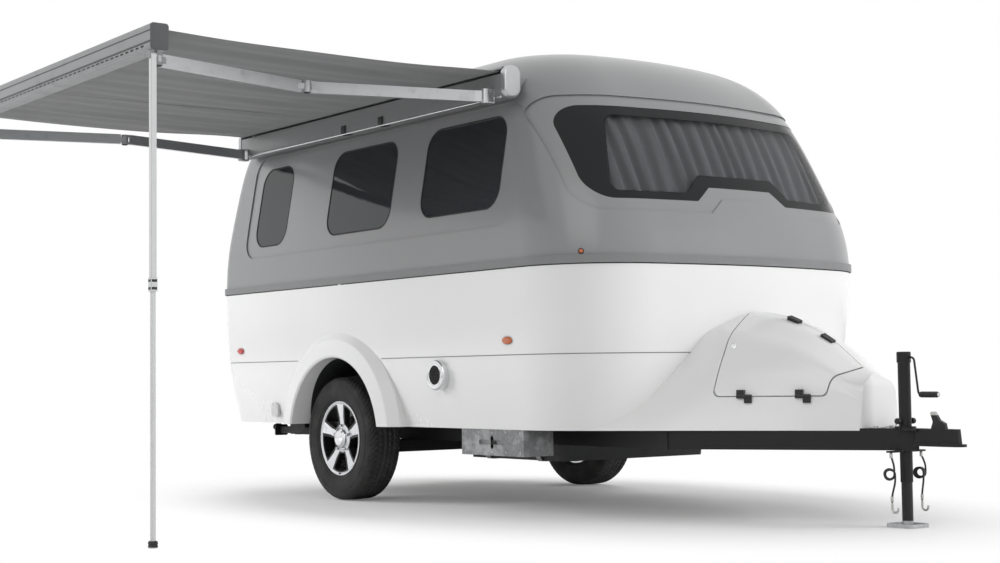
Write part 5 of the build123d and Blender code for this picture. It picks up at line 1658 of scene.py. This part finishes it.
@dataclass
class WindowTrim:
    """Rubber gaskets round the side panes and the door's pane, and the belt across the door."""

    panes: tuple[tuple[float, float, float, float], ...] = (
        (-4.260, -3.870, 1.530, 2.030),
        (-3.400, -2.710, 1.540, 2.040),
        (-2.420, -1.700, 1.560, 2.050),
    )
    corner: float = 0.110
    door_corner: float = 0.060
    belt_z: float = 1.272
    belt_margin: float = 0.012
    belt: Rounded = (0.040, 0.016, 0.005)
    inset: float = 0.004
    lip: Rounded = (0.009, 0.006, 0.002)

    def build(self) -> None:
        """Builds every gasket and the door's belt."""
        for side in Side:
            rubber = Mould(f"window_gaskets_{side.word}")
            face = Surface(f"side_windows_{side.word}", 1, side.sign)
            for pane in self.panes:
                self.loop(rubber, face, pane, self.corner)
            rubber.piece("caravan", Finishes.SEAL, "black_plastic")
        low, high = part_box("door_window")
        rubber = Mould("door_gaskets")
        pane = (low.y, high.y, low.z, high.z)
        self.loop(rubber, Surface("door_window", 0, -1.0), pane, self.door_corner)
        rubber.piece("door", Finishes.SEAL, "black_plastic")
        low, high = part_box("entry_door")
        across = np.linspace(low.y + self.belt_margin, high.y - self.belt_margin, 40)
        door = Surface("entry_door", 0, -1.0)
        path = door.on(np.c_[across, np.full(across.shape, self.belt_z)])
        belt = Mould("door_belt").add(sweep(path, rounded_outline(*self.belt, 4), door.out))
        belt.piece("door", Finishes.BELT, "belt_grey")

    def loop(self, rubber: Mould, face: Surface, pane: Sequence[float], corner: float) -> None:
        """A lip carried round a rounded rectangle on a face.

        Args:
            rubber: the mould that takes it.
            face: the pane's outer face.
            pane: the pane's ends along and up.
            corner: radius of its corners.
        """
        near, far, foot, head = pane
        size = (far - near - 2 * self.inset, head - foot - 2 * self.inset)
        flat = rounded_outline(*size, corner - self.inset, 9) + ((near + far) / 2, (foot + head) / 2)
        path = face.on(spaced(flat, 120, closed=True))
        section = rounded_outline(*self.lip, 3)
        rubber.add(sweep(path, section, face.out, closed=True), wrap_rows=True)


@dataclass
class BodyLine:
    """A thin dark bead round the lower body at one height, open at the wheels and the rear; its instances
    are painted shade along the crease and painted shadow under the belt rail.
    """

    name: str = "body_crease_shade"
    height: float = 0.816
    flare_rear: float = -3.712
    flare_front: float = -2.798
    rear_end: float = -4.610
    bead: Rounded = (0.0032, 0.0048, 0.0012)
    finish: Finish = Finishes.BELT
    directions: int = 1440
    points: int = 700

    def outline(self) -> Array:
        """The wall's outline at that height, in order from the rear round the right side.

        Each edge of a triangle that crosses the height gives the point a + (b - a)(h - az)/(bz - az).
        The body is convex there, so the outline is the furthest point in each direction.

        Returns:
            Points of the outline, as X and Y.
        """
        corners = Surface("lower_shell", 2, 1.0).triangles
        start, end = corners.reshape(-1, 3), np.roll(corners, -1, axis=1).reshape(-1, 3)
        crossing = (start[:, 2] - self.height) * (end[:, 2] - self.height) < 0.0
        start, end = start[crossing], end[crossing]
        share = (self.height - start[:, 2]) / (end[:, 2] - start[:, 2])
        flat = start[:, :2] + share[:, None] * (end[:, :2] - start[:, :2])
        angle = np.linspace(-math.pi, math.pi, self.directions, endpoint=False)
        reach = np.stack((np.cos(angle), np.sin(angle)), -1) @ flat.T
        chosen = reach.argmax(1)
        hull = flat[chosen[np.concatenate(([True], np.diff(chosen) != 0))]]
        return spaced(hull, self.points, closed=True)

    def build(self) -> None:
        """Three runs of the bead, which stops at the flares and at the rear."""
        flat = self.outline()
        x, y = flat[:, 0], flat[:, 1]
        behind = (x > self.rear_end) & (x < self.flare_rear)
        line = Mould(self.name)
        for run in (behind & (y < 0.0), x > self.flare_front, behind & (y > 0.0)):
            path = np.c_[flat[run], np.full(run.sum(), self.height)]
            line.add(sweep(path, rounded_outline(*self.bead, 3), (0, 0, 1)))
        # Painted shade: the dark bead stands for the shade in the body's crease, and in the belt instance
        # for the rail's shadow.
        line.piece("caravan", self.finish, "belt_grey")


# Painted shadow: a near-black bead just under the belt rail, where the rail's shadow falls.
BELT_SHADOW_LINE = BodyLine("belt_shadow_line", 1.2490, -3.205, -3.200, -4.640, (0.0050, 0.0050, 0.0015), Finishes.SEAL)


@dataclass
class LampTrim:
    """Lenses and bezels of the marker and tail lamps, and small markers on the upper front corners."""

    marker_xs: Pair = (-4.430, -1.620)
    marker_z: float = 0.888
    marker: Pair = (0.082, 0.038)
    tail: Pair = (0.860, 0.900)
    tail_size: Pair = (0.095, 0.220)
    tail_corner: float = 0.03
    dome: float = 0.0095
    draw_in: float = 0.35
    proud: float = 0.0012
    sunk: float = 0.006
    rim: Rounded = (0.0055, 0.0055, 0.002)
    rim_gap: float = 0.006
    corner_at: Pair = (0.952, 1.308)
    BUTTON: ClassVar[Profile] = (
        (0.0, -0.004), (0.0105, -0.004), (0.0105, 0.002), (0.0085, 0.0055), (0.0045, 0.0075),
        (0.0, 0.008),
    )
    CUP: ClassVar[Profile] = (
        (0.0, -0.005), (0.0150, -0.005), (0.0150, 0.0015), (0.0135, 0.003), (0.0112, 0.003),
        (0.0108, 0.001), (0.0, 0.001),
    )

    def build(self) -> None:
        """Builds the lenses, their bezels and the corner markers."""
        rims, lenses = Mould("lamp_bezels"), Mould("lamp_lenses")
        back = Surface("lower_shell", 0, -1.0)
        for side in Side:
            wall = Surface("lower_shell", 1, side.sign)
            for x in self.marker_xs:
                self.lens(lenses, rims, wall, (x, self.marker_z), self.marker, 0.0)
            at = (side.sign * self.tail[0], self.tail[1])
            self.lens(lenses, rims, back, at, self.tail_size, self.tail_corner)
        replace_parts(lenses.piece("caravan", Finishes.LENS, "lamp_red", 30), "lamps")
        rims.piece("caravan", Finishes.LEG, "leg_white")
        self.corners()

    def lens(
        self, lenses: Mould, rims: Mould, wall: Surface, at: Pair, size: Pair, corner: float
    ) -> None:
        """A domed lens on a wall, in a thin bezel.

        The lens is the outline drawn in towards its middle while it rises from the wall along a quarter
        of an oval, and its last row is closed in a point.

        Args:
            lenses: the mould of the lenses.
            rims: the mould of the bezels.
            wall: the face that carries it.
            at: its middle.
            size: its width and height.
            corner: radius of the outline's corners, or 0 for an oval.
        """
        outline = spaced(rounded_outline(*size, corner, 9), 72, True) if corner else circle(0.5, 72) * size
        rows = []
        for rise in np.linspace(0.0, QUARTER, 7):
            shrink = self.draw_in * (1.0 - math.cos(rise)) if rise < QUARTER else 1.0
            rows.append(wall.on(outline * (1.0 - shrink) + at, self.dome * math.sin(rise) + self.proud))
        base = wall.on(outline + at, -self.sunk)
        lenses.add(np.array([np.broadcast_to(base.mean(0), base.shape), base, *rows]))
        path = wall.on(outline * (1.0 + self.rim_gap / np.array(size)) + at)
        rims.add(sweep(path, rounded_outline(*self.rim, 3), wall.out, True), wrap_rows=True)

    def corners(self) -> None:
        """A small round lens in a cup on each upper front corner."""
        lenses, cups = Mould("corner_markers"), Mould("corner_marker_cups")
        wall = Surface("upper_shell", 0, 1.0)
        for side in Side:
            at, normal = wall.seat(side.sign * self.corner_at[0], self.corner_at[1])
            lenses.add(revolve(self.BUTTON, at, normal, 28))
            cups.add(revolve(self.CUP, at, normal, 28))
        lenses.piece("caravan", Finishes.LENS, "lamp_red")
        cups.piece("caravan", Finishes.PLASTIC, "black_plastic")


@dataclass
class AwningTrim:
    """End caps, hinge caps, clips and edges of the awning, and the legs' collars and shoes."""

    bar_at: Pair = (-2.970, 2.189)
    bar_size: Pair = (0.085, 0.117)
    bar_corner: float = 0.014
    bar_ends: Pair = (-4.510, -1.540)
    slots: int = 54
    slot: Rounded = (0.030, 0.007, 0.0034)
    slot_shift: Pair = (-0.0430, -0.036)
    slot_margin: float = 0.08
    arm_foot: float = 2.100
    shoulder_y: float = -1.098
    elbow_y: float = -1.9955
    wrist_y: float = -2.893
    edge_at: Pair = (-1.0555, 2.1195)
    edge_margin: float = 0.002
    edge: Rounded = (0.007, 0.011, 0.003)
    cassette_corner: float = 0.043
    clip_xs: Pair = (-3.159, -2.764)
    clip: Rounded = (0.046, 0.005, 0.002)
    clip_lean: Point = (0.0, -1.0, 0.4)
    leg: Rounded = (0.033, 0.033, 0.007)
    collar_z: float = 1.120
    BAR_CAP: ClassVar[Profile] = ((-0.004, 0.90), (0.0, 1.0), (0.004, 1.0), (0.0065, 0.96), (0.0078, 0.88))
    SLOT: ClassVar[Profile] = ((0.002, 1.0), (-0.0002, 1.0), (0.0, 0.8))
    BUTTON: ClassVar[Profile] = (
        (0.0, 0.001), (0.0175, 0.001), (0.0175, -0.0022), (0.0155, -0.0044), (0.0090, -0.0050),
        (0.0085, -0.0036), (0.0, -0.0036),
    )
    CASSETTE_CAP: ClassVar[Profile] = (
        (-0.040, 0.96), (-0.040, 1.0), (-0.014, 1.0), (-0.007, 0.975), (-0.002, 0.91), (0.0, 0.80),
    )
    CLIP: ClassVar[Profile] = (
        (0.060, 0.002), (0.016, -0.006), (0.002, -0.004), (-0.0055, 0.006), (-0.0060, 0.030),
        (-0.0045, 0.046),
    )
    COLLAR: ClassVar[Profile] = (
        (-0.022, 0.86), (-0.022, 1.0), (-0.012, 1.0), (-0.010, 0.95), (0.010, 0.95), (0.012, 1.0),
        (0.022, 1.0), (0.022, 0.86),
    )
    SHOE: ClassVar[Profile] = (
        (0.0022, 0.92), (0.006, 1.06), (0.012, 1.06), (0.014, 1.0), (0.018, 1.0), (0.020, 1.06),
        (0.026, 1.06), (0.032, 0.92),
    )

    def build(self) -> None:
        """Builds the trim of the bar, the arms, the cassette and the legs."""
        self.bar()
        for place in Place:
            self.arm_caps(place)
        self.cassette()
        for place in Place:
            self.leg_trim(place)

    @staticmethod
    def end_caps(caps: Mould, outline: Array, ends: Pair, at: Pair, steps: Profile) -> None:
        """A cap on each end of a bar that lies along X.

        Args:
            caps: the mould that takes them.
            outline: the bar's outline, about 0.
            ends: X of its rear and front ends.
            at: Y and Z of its middle.
            steps: height outwards and size of the outline there.
        """
        for x, way in zip(ends, (-1.0, 1.0)):
            outwards = [(way * height, size) for height, size in steps]
            caps.add(plate(outline, (x, *at), 0, outwards))

    def bar(self) -> None:
        """A domed cap on each end of the lead bar, and a row of slots along its outer face, painted near
        black as shade.
        """
        caps = Mould("lead_bar_caps")
        outline = rounded_outline(*self.bar_size, self.bar_corner, 6)
        self.end_caps(caps, outline, self.bar_ends, self.bar_at, self.BAR_CAP)
        caps.piece("lead", Finishes.BAR_END, "black_plastic")
        slots = Mould("lead_bar_slots")
        oval = rounded_outline(*self.slot, 4)
        y, z = (at + shift for at, shift in zip(self.bar_at, self.slot_shift))
        first, last = self.bar_ends[0] + self.slot_margin, self.bar_ends[1] - self.slot_margin
        for x in np.linspace(first, last, self.slots):
            slots.add(plate(oval, (x, y, z), 1, self.SLOT))
        # Painted shade: the slots are near-black plates standing for the shade in open slots.
        slots.piece("lead", Finishes.RECESS_SHADE, "black_plastic")

    def arm_caps(self, place: Place) -> None:
        """Round caps under the pivots of one arm, each on the body that carries its pin.

        Args:
            place: the arm's end of the awning.
        """
        spots = (
            (f"arm_{place.word}_inner", "shoulder", place.pivot_x, self.shoulder_y),
            (f"arm_{place.word}_inner", "elbow", place.elbow_x, self.elbow_y),
            (f"arm_{place.word}_outer", "wrist", place.pivot_x, self.wrist_y),
        )
        for body, word, x, y in spots:
            cap = Mould(f"{word}_cap_{place.word}")
            cap.add(revolve(self.BUTTON, (x, y, self.arm_foot), UP, 32))
            cap.piece(body, Finishes.PLASTIC, "black_plastic")

    def cassette(self) -> None:
        """A bright drip edge under the cassette, its end caps, and two clips that hang from it."""
        y, z = self.edge_at
        low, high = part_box("awning_cassette")
        path = straight((low.x + self.edge_margin, y, z), (high.x - self.edge_margin, y, z), 40)
        strip = Mould("cassette_edge").add(sweep(path, rounded_outline(*self.edge, 4), UP))
        strip.piece("caravan", Finishes.CHROME, "vent_chrome")
        caps = Mould("cassette_end_caps")
        low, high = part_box("cassette_caps")
        outline = rounded_outline(high.y - low.y, high.z - low.z, self.cassette_corner, 9)
        middle = ((low.y + high.y) / 2, (low.z + high.z) / 2)
        self.end_caps(caps, outline, (low.x, high.x), middle, self.CASSETTE_CAP)
        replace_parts(caps.piece("caravan", Finishes.SILVER, "awning_silver"), "cassette_caps")
        clips = Mould("cassette_clips")
        band = rounded_outline(*self.clip, 4)
        for x in self.clip_xs:
            route = np.insert(np.array(self.CLIP) + self.edge_at, 0, x, axis=1)
            clips.add(sweep(spaced(route, 26), band, self.clip_lean))
        clips.piece("caravan", Finishes.PLASTIC, "black_plastic")

    def leg_trim(self, place: Place) -> None:
        """A grooved collar at the leg's telescoping joint, and a ribbed rubber shoe.

        Args:
            place: the leg's end of the awning.
        """
        square = rounded_outline(*self.leg, 5)
        collar = Mould(f"leg_collar_{place.word}")
        collar.add(plate(square, (*place.leg_at, self.collar_z), 2, self.COLLAR))
        collar.piece(f"leg_{place.word}", Finishes.PLASTIC, "black_plastic")
        shoe = Mould(f"leg_shoe_{place.word}").add(plate(square, (*place.leg_at, 0.0), 2, self.SHOE))
        shoe.piece(f"leg_{place.word}", Finishes.SEAL, "black_plastic")


@dataclass
class FrontGear:
    """Bolts, pin, crank and lock at the caravan's front."""

    coupler_bolts: tuple[Pair, ...] = ((-0.125, 0.055), (-0.125, -0.055), (-0.065, 0.040), (-0.065, -0.040))
    coupler_bolt: float = 0.011
    pin_z: float = 0.483
    clip_y: float = -0.052
    clip_drop: float = 0.028
    clip_half: Pair = (0.012, 0.030)
    clip_r: float = 0.0016
    crank_r: float = 0.0050
    crank_bend: float = 0.016
    crank_route: tuple[Point, ...] = (
        (0.030, 0.0, 0.775),
        (0.058, 0.0, 0.772),
        (0.080, 0.0, 0.604),
        (0.1915, 0.0, 0.604),
    )
    grip_run: Pair = (-0.098, -0.006)
    grip_r: float = 0.0135
    rib: float = 0.0011
    rib_pitch: float = 0.0115
    lock: Pair = (-0.771, 0.843)
    GRIP_REAR: ClassVar[Profile] = ((0.0, -0.104), (0.0105, -0.104), (0.0125, -0.101))
    GRIP_FRONT: ClassVar[Profile] = ((0.0125, -0.003), (0.0105, 0.0), (0.0, 0.0))
    GRIP_END: ClassVar[Profile] = (
        (0.0, -0.003), (0.0095, -0.003), (0.0095, -0.0005), (0.0080, 0.0008), (0.0, 0.0012),
    )
    PIN_HALF: ClassVar[Profile] = (
        (0.0, -0.062), (0.0060, -0.062), (0.0135, -0.060), (0.0145, -0.052), (0.0135, -0.044),
        (0.0062, -0.042),
    )
    LOCK: ClassVar[Profile] = (
        (0.0, -0.003), (0.0150, -0.003), (0.0150, 0.0016), (0.0130, 0.0032), (0.0105, 0.0032),
        (0.0100, 0.0010), (0.0085, 0.0010), (0.0080, 0.0022), (0.0, 0.0024),
    )

    def build(self) -> None:
        """Builds the coupler's bolts, the jack's pin and crank, and the lid's lock."""
        top = Surface("coupler", 2, 1.0)
        bolts = Mould("coupler_bolts")
        for at in top.on(np.array(self.coupler_bolts)):
            bolts.bolt(at, UP, self.coupler_bolt)
        bolts.piece("caravan", Finishes.ZINC, "zinc")
        self.pin()
        self.crank()
        face = Surface("locker_lid", 1, -1.0)
        at, normal = face.seat(*self.lock)
        lock = Mould("lid_lock").add(revolve(self.LOCK, at, normal, 32))
        lock.piece("lid", Finishes.CHROME, "vent_chrome")

    def crank(self) -> None:
        """A thin bent rod from the jack's head, a ribbed grip on it and the grip's pale end.

        A bend is the curve (1-t)(1-t)a + 2t(1-t)c + tt b from a point a before the corner c to b after it.
        """
        route = np.array(self.crank_route)
        turns = np.linspace(0.0, 1.0, 9)[:, None]
        path = [route[:1]]
        for before, corner, after in zip(route, route[1:], route[2:]):
            start, end = (corner + self.crank_bend * unit(other - corner) for other in (before, after))
            path.append((1 - turns) ** 2 * start + 2 * turns * (1 - turns) * corner + turns**2 * end)
        rod = sweep(np.concatenate((*path, route[-1:])), circle(self.crank_r, 14), ACROSS)
        tip = (route[-1][0], 0.0, route[-1][2])
        along = np.linspace(*self.grip_run, 47)
        ribs = zip(self.grip_r + self.rib * np.cos(along * TURN / self.rib_pitch), along)
        grip = (*self.GRIP_REAR, *ribs, *self.GRIP_FRONT)
        handle = Mould("crank_handle").add(rod).add(revolve(grip, tip, ALONG, 28))
        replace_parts(handle.piece("caravan", Finishes.CRANK, "crank_black"), "jack_crank")
        end = Mould("crank_grip_end").add(revolve(self.GRIP_END, tip, ALONG, 28))
        end.piece("caravan", Finishes.LEG, "leg_white")

    def pin(self) -> None:
        """A cross pin through the jack's tube with a knob at each end, and a wire clip hung from it."""
        half = np.array(self.PIN_HALF)
        profile = np.concatenate((half, (half * (1.0, -1.0))[::-1]))
        pins = Mould("jack_pin").add(revolve(profile, (0.0, 0.0, self.pin_z), ACROSS, 24))
        angle = np.linspace(0.0, TURN, 60, endpoint=False)
        wide, high = self.clip_half
        loop = np.stack((wide * np.sin(angle), np.full(60, self.clip_y), high * np.cos(angle)), -1)
        loop = loop + (0.0, 0.0, self.pin_z - self.clip_drop)
        pins.add(sweep(loop, circle(self.clip_r, 8), ACROSS, True), wrap_rows=True)
        pins.piece("caravan", Finishes.CRANK, "crank_black")


@dataclass
class UnderTrim:
    """Tank straps, details of the service box, side vent, socket and stabilisers, and the roof's sealant."""

    strap_xs: Pair = (-2.510, -2.050)
    strap: Rounded = (0.040, 0.004, 0.0015)
    strap_gap: float = 0.003
    strap_bend: float = 0.02
    strap_head: float = 0.436
    tank_z: float = 0.36
    sealant_at: Pair = (-3.100, 0.0)
    sealant_side: float = 0.428
    sealant_corner: float = 0.03
    sealant: Rounded = (0.016, 0.010, 0.004)
    mesh_r: float = 0.050
    mesh_reach: float = 0.042
    wire_r: float = 0.0011
    wire_proud: float = 0.0002
    screw_circle: float = 0.061
    screw_proud: float = 0.0024
    screw: float = 0.0045
    flap: Rounded = (0.082, 0.078, 0.009)
    flap_hinge: Pair = (-0.004, 0.009)
    spindle_y: float = 0.700
    spindle_z: float = 0.398
    spindle_in: float = 0.03
    spindle_r: float = 0.0080
    spindle_run: float = 0.110
    thread: float = 0.0010
    threads: float = 20.0
    collar_shifts: Pair = (0.040, 0.072)
    nut_shift: float = 0.100
    nut: float = 0.013
    box_margin: Pair = (0.03, 0.018)
    box_slot: Rounded = (0.022, 0.066, 0.0105)
    DISH: ClassVar[Profile] = (
        (0.0, -0.010), (0.052, -0.010), (0.052, -0.0005), (0.050, -0.0015), (0.0, -0.0015),
    )
    RING: ClassVar[Profile] = (
        (0.0505, -0.004), (0.0505, 0.0010), (0.053, 0.0024), (0.068, 0.0024), (0.0745, 0.0004),
        (0.0745, -0.004),
    )
    FLAP: ClassVar[Profile] = ((0.010, 0.96), (0.010, 1.0), (-0.003, 1.0), (-0.005, 0.95))
    HINGE: ClassVar[Profile] = ((0.0, -0.030), (0.0045, -0.030), (0.0045, 0.030), (0.0, 0.030))
    COLLAR: ClassVar[Profile] = (
        (0.0, 0.0), (0.021, 0.0), (0.023, 0.002), (0.023, 0.008), (0.021, 0.010), (0.0, 0.010),
    )
    SLOT: ClassVar[Profile] = ((0.003, 1.0), (-0.0006, 1.0), (0.0, 0.86))

    def build(self) -> None:
        """Builds the straps, the details and the sealant."""
        self.straps()
        self.box()
        self.wall_vent()
        self.socket()
        self.screws()
        roof = Surface("upper_shell", 2, 1.0)
        outline = rounded_outline(self.sealant_side, self.sealant_side, self.sealant_corner, 6)
        path = roof.on(spaced(outline + self.sealant_at, 90, True))
        bead = Mould("roof_vent_sealant")
        bead.add(sweep(path, rounded_outline(*self.sealant, 4), UP, True), wrap_rows=True)
        bead.piece("caravan", Finishes.LEG, "leg_white")

    def straps(self) -> None:
        """Two flat straps carried under the water tank."""
        low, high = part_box("water_tank")
        straps = Mould("tank_straps")
        half, foot, bend = high.y + self.strap_gap, low.z - self.strap_gap, self.strap_bend
        side = np.array(((-half, self.strap_head), (-half, foot + bend), (-half + bend, foot)))
        route = spaced(np.concatenate((side, (side * (-1.0, 1.0))[::-1])), 90)
        for x in self.strap_xs:
            path = np.insert(route, 0, x, axis=1)
            middle = np.array((x, 0.0, self.tank_z))
            straps.add(sweep(path, rounded_outline(*self.strap, 3), unit(path - middle)))
        straps.piece("caravan", Finishes.ZINC, "zinc")

    def wall_vent(self) -> None:
        """A dark mesh over a near-black dish of painted shade, and a screwed chrome ring in the side vent.
        """
        low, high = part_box("side_vent")
        x, face, z = right_face(low, high)
        # Painted shade: a near-black dish stands for the shaded inside of the vent.
        dish = Mould("vent_dish").add(revolve(self.DISH, (x, face, z), TO_RIGHT, 48))
        dish.piece("caravan", Finishes.RECESS_SHADE, "black_plastic")
        wires = Mould("vent_wires")
        section = circle(self.wire_r, 6)
        for shift in np.linspace(-self.mesh_reach, self.mesh_reach, 11):
            reach = math.sqrt(self.mesh_r**2 - shift**2)
            for start, end in (((shift, -reach), (shift, reach)), ((-reach, shift), (reach, shift))):
                path = [(x + part[0], face - self.wire_proud, z + part[1]) for part in (start, end)]
                wires.add(sweep(np.array(path), section, ACROSS))
        wires.piece("caravan", Finishes.CRANK, "crank_black")
        rings = Mould("vent_ring").add(revolve(self.RING, (x, face, z), TO_RIGHT, 64), wrap_rows=True)
        for turn in np.arange(4) * TURN / 4 + TURN / 8:
            right, up = self.screw_circle * math.cos(turn), self.screw_circle * math.sin(turn)
            rings.screw((x + right, face - self.screw_proud, z + up), TO_RIGHT, self.screw)
        rings.piece("caravan", Finishes.CHROME, "vent_chrome")

    def socket(self) -> None:
        """A flap over the socket, with its hinge above."""
        low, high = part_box("socket_cover")
        middle = right_face(low, high)
        cover = Mould("socket_flap").add(plate(rounded_outline(*self.flap, 6), middle, 1, self.FLAP))
        out, above = self.flap_hinge
        cover.add(revolve(self.HINGE, (middle[0], middle[1] + out, high.z + above), ALONG, 16))
        cover.piece("caravan", Finishes.LEG, "leg_white")

    def screws(self) -> None:
        """A threaded spindle with a nut and two collars at the rear end of each stabiliser."""
        low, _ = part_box("stabilisers")
        turns = np.linspace(0.0, 1.0, 60)
        radius = self.spindle_r + self.thread * np.cos(TURN * self.threads * turns)
        thread = np.stack((radius, self.spindle_run * turns), -1)
        profile = np.concatenate((((0.0, 0.0),), thread, ((0.0, self.spindle_run),)))
        spindles = Mould("stabiliser_spindles")
        for side in Side:
            at = np.array((low.x + self.spindle_in, side.sign * self.spindle_y, self.spindle_z))
            spindles.add(revolve(profile, at, TO_REAR, 18))
            for shift in self.collar_shifts:
                spindles.add(revolve(self.COLLAR, at - (shift, 0.0, 0.0), TO_REAR, 28))
            spindles.bolt(at - (self.nut_shift, 0.0, 0.0), TO_REAR, self.nut)
        spindles.piece("caravan", Finishes.CHASSIS, "chassis_black")

    def box(self) -> None:
        """Screws round the service box's outer face, and an oval slot in it painted near black as shade."""
        low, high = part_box("service_box")
        screws, slot = Mould("service_box_screws"), Mould("service_box_slot")
        side, end = self.box_margin
        for x in np.linspace(low.x + side, high.x - side, 5):
            for z in (low.z + end, high.z - end):
                screws.screw((x, low.y, z), TO_RIGHT)
        screws.piece("caravan", Finishes.ZINC, "zinc")
        # Painted shade: the slot is a near-black plate standing for the shade in an opening.
        slot.add(plate(rounded_outline(*self.box_slot, 6), right_face(low, high), 1, self.SLOT))
        slot.piece("caravan", Finishes.RECESS_SHADE, "black_plastic")


def dress_nodes() -> None:
    """Gives every solid the finish of its slot."""
    slots = {entry["node"]: entry["material_slot"] for entry in frame["record"]["subparts"]}
    for name, node in frame["nodes"].items():
        finish = OWN_FINISH.get(name, NODE_FINISH[slots[name]])
        for place in node.material_slots:
            place.material = finish.material()
        LOG.info("%s: %s", name, finish.name)


def main() -> None:
    """Builds the scene in order."""
    logging.basicConfig(level=logging.INFO, format="%(name)s: %(message)s")
    Stage().build()
    dress_nodes()
    soft = (SafetyCables(), Canopy(), FrontCurtain())
    body = (WindowTrim(), BodyLine(), BELT_SHADOW_LINE, LampTrim())
    gear = (Tyres(), WheelTrim(), AwningTrim(), FrontGear(), UnderTrim())
    for assembly in soft + body + gear:
        assembly.build()


if __name__ == "__main__":
    main()
